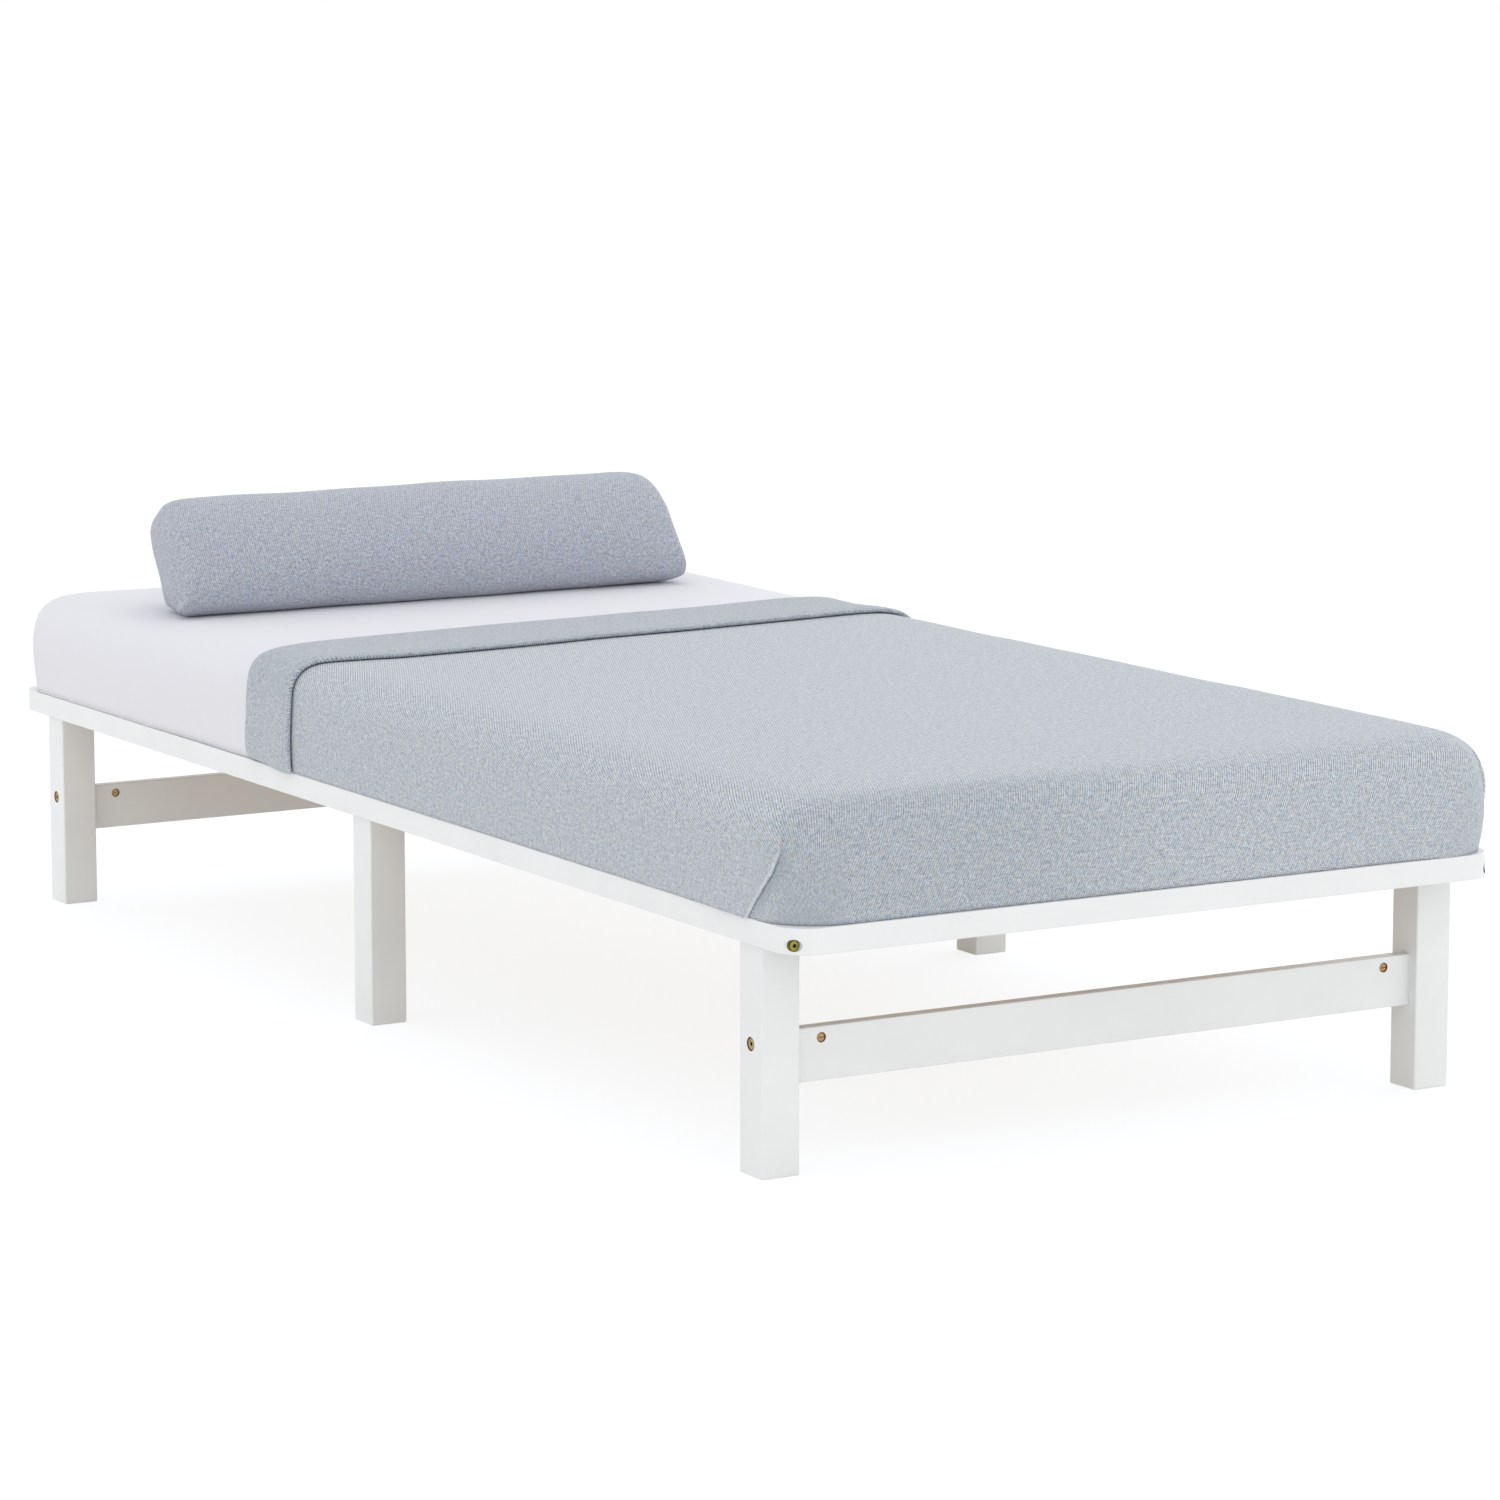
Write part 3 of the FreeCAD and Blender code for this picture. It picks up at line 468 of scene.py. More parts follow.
def twill_cloth(name, light, dark, pitch, lean, contrast=0.46):
    """Blanket and bolster cloth: the twill group between two yarn colours, with a soft nap.

    On the blanket it also paints a highlight and shade along the folded corners, and shade on the
    foot face and the turned-back band.
    """
    material, tree, shader = new_material(name)
    cloth = cloth_vector(tree)
    weave = use_group(
        tree, twill_group(), Vector=cloth, Pitch=pitch, Lean=lean, Rib_Contrast=contrast
    )
    tone = blend_colour(tree, weave.outputs["Yarn"], dark, light)
    drift = fit_range(tree, noise(tree, cloth, 120.0, 3.0), 0.38, 0.62)
    tint = blend_colour(tree, drift, (1.03, 1.0, 0.965), (0.97, 1.0, 1.035))
    tone = vector_calc(tree, "MULTIPLY", tone, tint)
    past, near, shade = (
        add_node(tree, "ShaderNodeAttribute", attribute_name=field).outputs["Fac"]
        for field in FOLD_FIELDS
    )
    # Painted highlight: a thin light line along the edge of the folded corner's flap.
    from_lip = calc(tree, "ABSOLUTE", plus(tree, past, 0.0013))
    painted_lip_highlight = fit_range(tree, from_lip, 0.0006, 0.0017, 1.0, 0.0, True)
    # Painted shadow: a thin dark line just past the flap's edge, then painted shade fading across
    # the hollow beside it.
    from_line = calc(tree, "ABSOLUTE", calc(tree, "SUBTRACT", past, 0.0009))
    line = fit_range(tree, from_line, 0.0004, 0.0016, 1.0, 0.0, True)
    hollow = fit_range(tree, past, 0.0, 0.024, 1.0, 0.0, True)
    hollow = times(tree, hollow, calc(tree, "GREATER_THAN", past, 0.0))
    # The painted shade of the line, the hollow and the shade field darkens the cloth, and the
    # painted highlight lightens it.
    painted_shade_amount = plus(tree, times(tree, line, 0.42), times(tree, hollow, 0.20))
    painted_shade_amount = plus(tree, times(tree, painted_shade_amount, near), shade)
    tone = blend_colour(tree, painted_shade_amount, tone, Vector(dark) * 0.9)
    tone = blend_colour(tree, times(tree, times(tree, painted_lip_highlight, near), 0.42), tone, light)
    rough = fit_range(tree, weave.outputs["Fleck"], 0, 1, 0.82, 0.95)
    nap = {"Specular IOR Level": 0.25, "Sheen Weight": 0.22, "Sheen Roughness": 0.45}
    set_inputs(tree, shader, {"Base Color": tone, "Roughness": rough, **nap})
    set_bump(tree, shader, weave.outputs["Relief"], 0.0006, 0.55)
    return material


def cotton_cloth(name, tint, pitch):
    """Plain white cotton with slubs and a faint unevenness."""
    material, tree, shader = new_material(name)
    cloth = cloth_vector(tree)
    weave = use_group(tree, plain_weave_group(), Vector=cloth, Pitch=pitch)
    tint = Vector(tint)
    tone = blend_colour(tree, fit_range(tree, weave.outputs["Slub"], 0.3, 0.7), tint * 0.965, tint)
    drift = fit_range(tree, noise(tree, cloth, 5.0, 3.0), 0.3, 0.7)
    tone = blend_colour(tree, times(tree, drift, 0.5), tone, tint * 0.975)
    rough = fit_range(tree, weave.outputs["Slub"], 0.3, 0.7, 0.78, 0.9)
    nap = {"Specular IOR Level": 0.3, "Sheen Weight": 0.12}
    set_inputs(tree, shader, {"Base Color": tone, "Roughness": rough, **nap})
    set_bump(tree, shader, weave.outputs["Relief"], 0.0002, 0.4)
    return material


def ticking(name):
    """Mattress cover: cream cotton with fine woven stripes along the bed."""
    material, tree, shader = new_material(name)
    cloth = cloth_vector(tree)
    weave = use_group(tree, plain_weave_group(), Vector=cloth, Pitch=0.0011)
    parts = add_node(tree, "ShaderNodeSeparateXYZ", {0: cloth})
    stripe = calc(tree, "SINE", times(tree, parts.outputs[0], math.tau / 0.036))
    stripe = fit_range(tree, stripe, 0.82, 0.9)
    tone = blend_colour(tree, stripe, (0.78, 0.76, 0.70), (0.47, 0.50, 0.55))
    tone = blend_colour(tree, times(tree, weave.outputs["Slub"], 0.3), tone, (0.66, 0.64, 0.60))
    rough = fit_range(tree, weave.outputs["Slub"], 0.3, 0.7, 0.8, 0.92)
    set_inputs(tree, shader, {"Base Color": tone, "Roughness": rough})
    set_bump(tree, shader, weave.outputs["Relief"], 0.0004, 0.6)
    return material


# ---- Meshes ---------------------------------------------------------------------------------


def read_points(mesh):
    points = np.zeros(len(mesh.vertices) * 3, np.float32)
    mesh.vertices.foreach_get("co", points)
    return points.reshape(-1, 3)


def corner_numbers(mesh):
    """The number of the point at each corner of each face."""
    corners = np.zeros(len(mesh.loops), np.int32)
    mesh.loops.foreach_get("vertex_index", corners)
    return corners


def mesh_object(name, points, faces, uv=None):
    """An object at the origin whose mesh holds the place, with an optional cloth UV per vertex."""
    mesh = bpy.data.meshes.new(name)
    mesh.from_pydata([tuple(point) for point in points], [], [tuple(face) for face in faces])
    mesh.update()
    made = bpy.data.objects.new(name, mesh)
    bpy.context.scene.collection.objects.link(made)
    for polygon in mesh.polygons:
        polygon.use_smooth = True
    if uv is not None:
        layer = mesh.uv_layers.new(name="cloth")
        uv = np.asarray(uv, dtype=np.float32)[corner_numbers(mesh)]
        layer.data.foreach_set("uv", uv.ravel())
    return made


def settle(made, levels=0):
    """Replaces live modifiers by their result, so the mesh is plain."""
    if levels:
        modifier = made.modifiers.new("smooth", "SUBSURF")
        modifier.levels = modifier.render_levels = levels
    graph = bpy.context.evaluated_depsgraph_get()
    graph.update()
    result = bpy.data.meshes.new_from_object(made.evaluated_get(graph))
    made.modifiers.clear()
    old = made.data
    made.data = result
    bpy.data.meshes.remove(old)


def give_thickness(made, thickness):
    modifier = made.modifiers.new("cloth thickness", "SOLIDIFY")
    modifier.thickness = thickness
    modifier.offset = 0
    modifier.use_even_offset = True
    modifier.use_rim = True
    settle(made)


def finish_piece(made, material, slot, *nodes):
    """Gives the piece its material and body, and hides the CAD nodes that it stands for. Its slot
    is not used.
    """
    if material:
        made.data.materials.clear()
        made.data.materials.append(material)
    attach(made, "root")
    if nodes:
        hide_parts(*nodes)


def grid_faces(rows, columns):
    index = np.arange(rows * columns).reshape(rows, columns)
    corners = (index[:-1, :-1], index[:-1, 1:], index[1:, 1:], index[1:, :-1])
    return np.stack([corner.ravel() for corner in corners], axis=1)


def smooth_step(value, low, high):
    t = np.clip((value - low) / (high - low), 0, 1)
    return t * t * (3 - 2 * t)


def bell(value, centre, width):
    return np.exp(-(((value - centre) / width) ** 2))


# Edge of the mattress, from the crown's inner edge down to the rail: shares of the crown's reach
# and of the thickness.
EDGE = (
    (1.0, 1.0), (0.78, 0.9985), (0.60, 0.995), (0.46, 0.988), (0.34, 0.976), (0.245, 0.958),
    (0.165, 0.93), (0.10, 0.885), (0.05, 0.82), (0.022, 0.74), (0.004, 0.60), (0.0, 0.42),
    (0.0005, 0.24), (0.001, 0.12), (0.002, 0.05), (0.003, 0.0),
)


def rounded_curve(points, steps):
    """A curve through the points, each span eased by its neighbours."""
    points = np.asarray(points, float)
    padded = np.vstack([2 * points[0] - points[1], points, 2 * points[-1] - points[-2]])
    line = []
    for index in range(1, len(padded) - 2):
        a, b, c, d = padded[index - 1 : index + 3]
        t = np.linspace(0, 1, steps, endpoint=False)[:, None]
        bend, twist = 2 * a - 5 * b + 4 * c - d, 3 * b - a - 3 * c + d
        line.append(0.5 * (2 * b + (c - a) * t + bend * t**2 + twist * t**3))
    return np.vstack(line + [points[-1:]])


class BedSurface:
    """Maps cloth coordinates onto the mattress: flat on top, over the crown and down the sides."""

    def __init__(self, form):
        self.half_across = (MATTRESS_HIGH.x - MATTRESS_LOW.x) / 2
        self.half_along = (MATTRESS_HIGH.y - MATTRESS_LOW.y) / 2
        self.thick = MATTRESS_HIGH.z - MATTRESS_LOW.z
        self.base = MATTRESS_LOW.z
        self.crown, self.corner = form.crown, form.corner
        line = rounded_curve(np.array(EDGE) * (self.crown, self.thick), 24)
        self.inset, self.height = line[:, 0], line[:, 1]
        steps = np.hypot(np.diff(self.inset), np.diff(self.height))
        self.down = np.concatenate([[0], np.cumsum(steps)])
        run = np.gradient(line, self.down, axis=0)
        self.out, self.up = -run[:, 1], -run[:, 0]
        self.flat_across = self.half_across - self.crown
        self.flat_along = self.half_along - self.crown
        self.reach = self.down[-1]

    def half_size(self, clearance=0.0):
        """Half the cloth that covers the bed down to this far over the rail, across and along."""
        reach = self.reach - clearance
        return self.flat_across + reach, self.flat_along + reach

    def grid(self, step, clearance=0.0):
        """Cloth positions of an even grid over the whole bed."""
        across, along = (
            np.linspace(-1, 1, int(2 * half / step)) * half for half in self.half_size(clearance)
        )
        return np.meshgrid(across, along)

    def __call__(self, across, along):
        """Points, outward normals, and cloth coordinates, for arrays of cloth positions."""
        past_side = np.abs(across) - self.flat_across
        past_end = np.abs(along) - self.flat_along
        past = np.maximum(np.maximum(past_side, past_end), 0)
        inside = past <= 0
        ratio = np.maximum(
            np.maximum(np.abs(across) / self.flat_across, np.abs(along) / self.flat_along), 1e-6
        )
        shrink = np.where(inside, ratio, 1.0)
        x, y = across / shrink, along / shrink
        inset = np.interp(past, self.down, self.inset)
        height = np.interp(past, self.down, self.height)
        out, up = np.interp(past, self.down, self.out), np.interp(past, self.down, self.up)
        out, up = np.where(inside, 0, out), np.where(inside, 1, up)
        half_x, half_y = self.half_across - inset, self.half_along - inset
        radius = self.corner - inset * 0.36
        on_side = np.abs(x) - self.flat_across >= np.abs(y) - self.flat_along
        run_x = half_x - radius + radius * math.pi / 4
        run_y = half_y - radius + radius * math.pi / 4
        along_side = y / (self.flat_along + past) * run_y
        along_end = x / (self.flat_across + past) * run_x
        turn_side = np.maximum(np.abs(along_side) - (half_y - radius), 0) / radius
        turn_end = np.maximum(np.abs(along_end) - (half_x - radius), 0) / radius
        side_x = half_x - radius + radius * np.cos(turn_side)
        side_y = np.where(
            turn_side > 0,
            np.sign(along_side) * (half_y - radius + radius * np.sin(turn_side)), along_side,
        )
        end_y = half_y - radius + radius * np.cos(turn_end)
        end_x = np.where(
            turn_end > 0,
            np.sign(along_end) * (half_x - radius + radius * np.sin(turn_end)), along_end,
        )
        px = np.where(on_side, np.sign(x) * side_x, end_x) * shrink
        py = np.where(on_side, side_y, np.sign(y) * end_y) * shrink
        side_nx, side_ny = np.sign(x) * np.cos(turn_side), np.sign(along_side) * np.sin(turn_side)
        end_nx, end_ny = np.sign(along_end) * np.sin(turn_end), np.sign(y) * np.cos(turn_end)
        nx, ny = np.where(on_side, side_nx, end_nx), np.where(on_side, side_ny, end_ny)
        long = np.sqrt(out**2 + up**2)
        points = np.stack([px, py, self.base + height], -1)
        normals = np.stack([nx * out / long, ny * out / long, up / long], -1)
        drop = past - (self.crown - inset) * ~inside
        cloth = np.stack([px + nx * drop, py + ny * drop], -1)
        return points, normals, cloth


def soft_waves(x, y, waves):
    """A smooth uneven field between about -1 and 1, from a few slanting waves."""
    total = np.zeros_like(x)
    for size, angle, phase in waves:
        slanted = x * math.cos(angle) + y * math.sin(angle)
        bent = slanted + 0.18 * size * np.sin(math.tau * (y - x) / (2.3 * size) + phase * 1.7)
        total += np.sin(math.tau * bent / size + phase)
    return total / len(waves)


# Length, slant and phase of each wave.
SHEET_WAVES = ((0.31, 0.4, 1.1), (0.19, 2.2, 0.2), (0.11, 1.3, 2.4))
BLANKET_WAVES = ((0.52, 0.5, 0.3), (0.34, 1.9, 1.8), (0.21, 1.1, 4.0))


def sheet_lift(surface, points, cloth, crease):
    """How far creases lift the fitted sheet: at the head corners, down the sides, by the bolster.

    It also stands out a little, low on the sides towards the head."""
    x, y, z = points[..., 0], points[..., 1], points[..., 2]
    across, along = cloth[..., 0], cloth[..., 1]
    bare = smooth_step(y, 0.24, 0.36)
    below = smooth_step(surface.base + surface.thick - z, 0.004, 0.05)
    field = 0.5 + 0.5 * soft_waves(across, along, SHEET_WAVES)
    hang = 0.5 + 0.5 * np.sin(along * 47 + 2.2 * np.sin(along * 9.0) + 6 * across)
    corner = bell(np.abs(x), surface.half_across, 0.12) * bell(y, surface.half_along, 0.14)
    gather = 0.5 + 0.5 * np.sin(np.arctan2(y - surface.half_along + 0.12, np.abs(x) - 0.33) * 17)
    pull = bell(y, 0.60, 0.05) * bell(np.abs(x + 0.02), 0.40, 0.07)
    pull = pull * (0.5 + 0.5 * np.sin(70 * (x - y)))
    lift = 0.35 * field * (0.4 + below) + 0.45 * below * hang * field
    lift = lift + 0.9 * corner * gather * below
    full = bell(z, surface.base + 0.060, 0.055)
    full = full * smooth_step(y, 0.3, 0.9) * smooth_step(np.abs(x), 0.3, 0.44)
    return crease * bare * (lift + 0.35 * pull) + 0.0065 * full


# How far above the rail the sheet and the blanket end.
HEM_CLEARANCE = 0.0006


def shared_floor(points, clearance):
    """Cloth that hangs to the rail stops just above it."""
    points[..., 2] = np.maximum(points[..., 2], RAIL_TOP + clearance)
    return points


# ---- Operators ------------------------------------------------------------------------------


def paint_node(name, material):
    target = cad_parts[name]
    target.data.materials.clear()
    target.data.materials.append(material)


# Radii of the corner bolts' heads, the stretcher bolts' heads and the barrel nuts, and how much
# wider the raw wood of their bores is.
CORNER_HEAD, LEG_HEAD, NUT = 0.006, 0.007, 0.005
BORE_RING = 0.0006


def bolt_places():
    """Axes of the right corner bolt, a stretcher bolt and a barrel nut. The others mirror them."""
    low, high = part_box("corner_bolts")
    corner = (high.x - CORNER_HEAD, 0, (low.z + high.z) / 2)
    low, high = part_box("stretcher_bolts")
    bolt_up = (low.z + high.z) / 2
    nut_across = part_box("stretcher_barrel_nuts")[1].x - NUT
    return corner, (0, high.y - LEG_HEAD, bolt_up), (nut_across, 0, bolt_up)


class BED_OT_paint_frame(bpy.types.Operator):
    """Give the rails, legs and stretchers their white paint, with raw wood in the bolt holes"""

    bl_idname = "bed.paint_frame"
    bl_label = "Paint Frame"

    def execute(self, context):
        corner, leg_bolt, nut = bolt_places()
        rings = [head + BORE_RING for head in (CORNER_HEAD, LEG_HEAD, NUT)]
        rail = painted_wood("painted_end_rail", "across", corner, (1, 0, 1), rings[0], True)
        side = painted_wood("painted_side_rail", "lengthways")
        leg = painted_wood("painted_leg", "upright", leg_bolt, (0, 1, 1), rings[1])
        stretcher = painted_wood("painted_stretcher", "across", nut, (1, 0, 1), rings[2])
        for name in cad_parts:
            if name in ("foot_rail", "head_rail"):
                paint_node(name, rail)
            elif name.startswith("side_rail"):
                paint_node(name, side)
            elif name.startswith("leg_") and name != "leg_screws":
                paint_node(name, leg)
            elif name.endswith("_stretcher"):
                paint_node(name, stretcher)
        return {"FINISHED"}


class BED_OT_finish_base(bpy.types.Operator):
    """Give the slats, ledgers, cross rail and dowels their bare wood"""

    bl_idname = "bed.finish_base"
    bl_label = "Finish Slatted Base"

    def execute(self, context):
        slats = [
            bare_wood("slat_wood_%d" % step, "across", tint)
            for step, tint in enumerate((1.0, 0.93, 1.05))
        ]
        ledger = bare_wood("ledger_wood", "lengthways", 0.97)
        beech = bare_wood("dowel_beech", "across", 0.86)
        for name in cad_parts:
            if name.startswith("slat_") and name != "slat_screws":
                paint_node(name, slats[int(name[-2:]) % 3])
            elif name.startswith("ledger_") and name != "ledger_screws":
                paint_node(name, ledger)
            elif name.endswith("_dowels"):
                paint_node(name, beech)
        paint_node("mid_cross_rail", slats[1])
        return {"FINISHED"}


class BED_OT_plate_bolts(bpy.types.Operator):
    """Give the bolts and barrel nuts their zinc plating"""

    bl_idname = "bed.plate_bolts"
    bl_label = "Plate Bolts"

    def execute(self, context):
        finish = context.scene.bed_frame
        zinc, copper = Vector(finish.yellow_zinc), Vector(finish.copper_zinc)
        corner, leg, nut = bolt_places()
        # Radii of the painted shade in the bolts' hex sockets and at the centre of the barrel nuts.
        hex_socket, nut_centre_shade = 0.0021, 0.0008
        green = plated_metal(
            "green_zinc_bolt", finish.green_zinc, (0.27, 0.30, 0.05),
            corner, (1, 0, 1), hex_socket, CORNER_HEAD,
        )
        brassy = plated_metal(
            "yellow_zinc_bolt", zinc, zinc * 0.8, leg, (0, 1, 1), hex_socket, LEG_HEAD
        )
        coppery = plated_metal(
            "copper_zinc_nut", copper, (0.42, 0.32, 0.15), nut, (1, 0, 1), nut_centre_shade, NUT
        )
        paint_node("corner_bolts", green)
        paint_node("stretcher_bolts", brassy)
        paint_node("corner_barrel_nuts", coppery)
        paint_node("stretcher_barrel_nuts", coppery)
        return {"FINISHED"}


def set_on_points(tree, given, shape, axis, scale=(1, 1, 1)):
    """Puts the shape on each point as real geometry, turned to the point's facing."""
    facing = add_node(
        tree, "GeometryNodeInputNamedAttribute", {"Name": "facing"}, data_type="FLOAT_VECTOR"
    )
    turned = add_node(
        tree, "FunctionNodeAlignRotationToVector", {"Vector": facing.outputs[0]}, axis=axis
    )
    cloud = add_node(tree, "GeometryNodeMeshToPoints", {"Mesh": given["Places"]})
    many = add_node(
        tree, "GeometryNodeInstanceOnPoints",
        {
            "Points": cloud.outputs[0], "Instance": shape,
            "Rotation": turned.outputs[0], "Scale": scale,
        },
    )
    real = add_node(tree, "GeometryNodeRealizeInstances", {0: many.outputs[0]})
    done = add_node(
        tree, "GeometryNodeSetMaterial", {"Geometry": real.outputs[0], "Material": given["Finish"]}
    )
    return done.outputs[0]


def build_screws(tree, given):
    """Countersunk screws: a ribbed, pointed shank under a head with a cross recess."""
    minus = times(tree, given["Length"], -1.0)
    end = add_node(tree, "ShaderNodeCombineXYZ", {2: minus})
    line = add_node(tree, "GeometryNodeCurvePrimitiveLine", {"End": end.outputs[0]})
    fine = add_node(tree, "GeometryNodeResampleCurve", {"Curve": line.outputs[0], "Count": 44})
    spot = tree.nodes.new("GeometryNodeSplineParameter").outputs["Factor"]
    ridge = calc(tree, "SINE", times(tree, spot, math.tau * 11))
    ridge = plus(tree, times(tree, ridge, 0.16), 0.84)
    point = fit_range(tree, spot, 0.82, 1.0, 1.0, 0.15)
    shank = times(tree, times(tree, ridge, point), given["Shank Radius"])
    down = times(tree, spot, given["Length"])
    cone = calc(tree, "DIVIDE", down, given["Head Height"])
    cone = fit_range(tree, cone, 0.0, 1.0, 1.0, 0.0)
    spread = calc(tree, "SUBTRACT", given["Head Radius"], given["Shank Radius"])
    head = plus(tree, times(tree, cone, spread), given["Shank Radius"])
    head = times(tree, head, calc(tree, "GREATER_THAN", cone, 0.001))
    radius = calc(tree, "MAXIMUM", shank, head)
    ring = add_node(tree, "GeometryNodeCurvePrimitiveCircle", {"Resolution": 14, "Radius": 1.0})
    body = add_node(
        tree, "GeometryNodeCurveToMesh",
        {
            "Curve": fine.outputs[0], "Profile Curve": ring.outputs[0],
            "Scale": radius, "Fill Caps": True,
        },
    )
    wide = times(tree, given["Recess"], 2.0)
    thin = times(tree, given["Recess"], 0.5)
    deep = times(tree, given["Head Height"], 1.2)
    bars = []
    for long_side, short_side in ((wide, thin), (thin, wide)):
        block = add_node(tree, "ShaderNodeCombineXYZ", {0: long_side, 1: short_side, 2: deep})
        bars.append(add_node(tree, "GeometryNodeMeshCube", {"Size": block.outputs[0]}).outputs[0])
    cut = add_node(tree, "GeometryNodeMeshBoolean", operation="DIFFERENCE")
    tree.links.new(body.outputs[0], cut.inputs["Mesh 1"])
    for bar in bars:
        tree.links.new(bar, cut.inputs["Mesh 2"])
    return {"Screws": set_on_points(tree, given, cut.outputs[0], "Z")}


def screw_tree():
    sizes = ("Head Radius", "Head Height", "Shank Radius", "Length", "Recess")
    inputs = (("Places", "Geometry", None), *((label, "Float", None) for label in sizes))
    inputs += (("Finish", "Material", None),)
    outputs = (("Screws", "Geometry"),)
    return node_group("Countersunk Screws", inputs, outputs, build_screws, "GeometryNodeTree")


def grow_from_points(name, tree, places, facings, values):
    """Runs a Geometry Nodes tree on points with a facing, and keeps the result as a plain mesh."""
    made = mesh_object(name, places, [])
    facing = made.data.attributes.new("facing", "FLOAT_VECTOR", "POINT")
    facing.data.foreach_set("vector", np.asarray(facings, np.float32).ravel())
    modifier = made.modifiers.new("grow", "NODES")
    modifier.node_group = tree
    for item in tree.interface.items_tree:
        if item.item_type == "SOCKET" and item.in_out == "INPUT" and item.name in values:
            modifier[item.identifier] = values[item.name]
    settle(made)
    if not made.data.polygons:
        raise RuntimeError("no geometry was grown for " + name)
    return made


# Head radius, head height, shank radius and length of the wood screws, in metres.
SCREWS = {
    "slat_screws": (0.00375, 0.0024, 0.002, 0.025),
    "leg_screws": (0.00475, 0.003, 0.0025, 0.050),
    "ledger_screws": (0.00375, 0.0024, 0.002, 0.036),
}


class BED_OT_fit_screws(bpy.types.Operator):
    """Grow the wood screws of the legs, ledgers and slats with Geometry Nodes"""

    bl_idname = "bed.fit_screws"
    bl_label = "Fit Screws"

    def execute(self, context):
        finish = context.scene.bed_frame
        steel = plated_metal("bright_zinc_screw", finish.bright_zinc)
        slat_boxes = [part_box("slat_%02d" % number) for number in range(1, 14)]
        slat_middles = [(low.y + high.y) / 2 for low, high in slat_boxes]
        slat_top, ledger_top = slat_boxes[0][1].z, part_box("ledger_left")[1].z
        ledger_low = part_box("ledger_left")[0]
        ledger_inner = -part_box("ledger_left")[1].x
        slat_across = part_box("slat_screws")[1].x - SCREWS["slat_screws"][0]
        leg_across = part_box("leg_screws")[1].x - SCREWS["leg_screws"][0]
        sets = {name: [] for name in SCREWS}
        for side in (-1, 1):
            for along in slat_middles:
                sets["slat_screws"].append(((side * slat_across, along, slat_top), (0, 0, 1)))
            for low, high in zip(slat_middles[:-1], slat_middles[1:]):
                place = (side * ledger_inner, (low + high) / 2, (ledger_low.z + ledger_top) / 2)
                sets["ledger_screws"].append((place, (-side, 0, 0)))
            for word in ("foot", "mid", "head"):
                low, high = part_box("leg_%s_left" % word)
                for step in (-0.008, 0.008):
                    place = (side * leg_across, (low.y + high.y) / 2 + step, ledger_top)
                    sets["leg_screws"].append((place, (0, 0, 1)))
        for name, (head, high, shank, long) in SCREWS.items():
            places, facings = zip(*sets[name])
            values = {
                "Head Radius": head, "Head Height": high, "Shank Radius": shank, "Length": long,
                "Recess": finish.recess, "Finish": steel,
            }
            made = grow_from_points(name + "_threaded", screw_tree(), places, facings, values)
            finish_piece(made, None, "bright_zinc", name)
        return {"FINISHED"}


class BED_OT_fill_mattress(bpy.types.Operator):
    """Build the mattress core that the sheet is fitted over"""

    bl_idname = "bed.fill_mattress"
    bl_label = "Fill Mattress"

    def execute(self, context):
        surface = BedSurface(context.scene.bed_mattress)
        x, y = surface.grid(step=0.022)
        points, normals, cloth = surface(x, y)
        quilt_pitch, quilt_depth, under_sheet = 0.15, 0.001, 0.0006
        quilt = np.cos(x * math.tau / quilt_pitch) * np.cos(y * math.tau / quilt_pitch)
        depth = under_sheet + quilt_depth * (0.5 + 0.5 * quilt)
        points = points - normals * depth[..., None]
        on_edge = np.zeros(x.shape, bool)
        on_edge[0], on_edge[-1], on_edge[:, 0], on_edge[:, -1] = True, True, True, True
        place = np.stack([x, y], -1)
        inner = np.clip(np.abs(place) / surface.half_size(), 0, 1)
        plan = np.sign(place) * inner * (surface.half_across, surface.half_along)
        under = np.full_like(points, surface.base + 0.0004)
        under[..., :2] = plan * 0.975
        under[on_edge] = points[on_edge]
        index = np.arange(x.size)
        partner = np.where(on_edge.ravel(), index, index + x.size)
        faces = grid_faces(*x.shape)
        faces = np.vstack([faces, partner[faces][:, ::-1]])
        made = mesh_object(
            "mattress_core", np.vstack([points.reshape(-1, 3), under.reshape(-1, 3)]), faces,
            np.vstack([cloth.reshape(-1, 2), plan.reshape(-1, 2)]),
        )
        keep_used_points(made)
        finish_piece(made, ticking("mattress_ticking"), "mattress_ticking", "mattress")
        return {"FINISHED"}


def keep_used_points(made):
    """Drops the points that no face uses."""
    mesh = made.data
    used = np.zeros(len(mesh.vertices), bool)
    used[corner_numbers(mesh)] = True
    if used.all():
        return
    work = bmesh.new()
    work.from_mesh(mesh)
    work.verts.ensure_lookup_table()
    spare = [work.verts[int(index)] for index in np.flatnonzero(~used)]
    bmesh.ops.delete(work, geom=spare, context="VERTS")
    work.to_mesh(mesh)
    work.free()


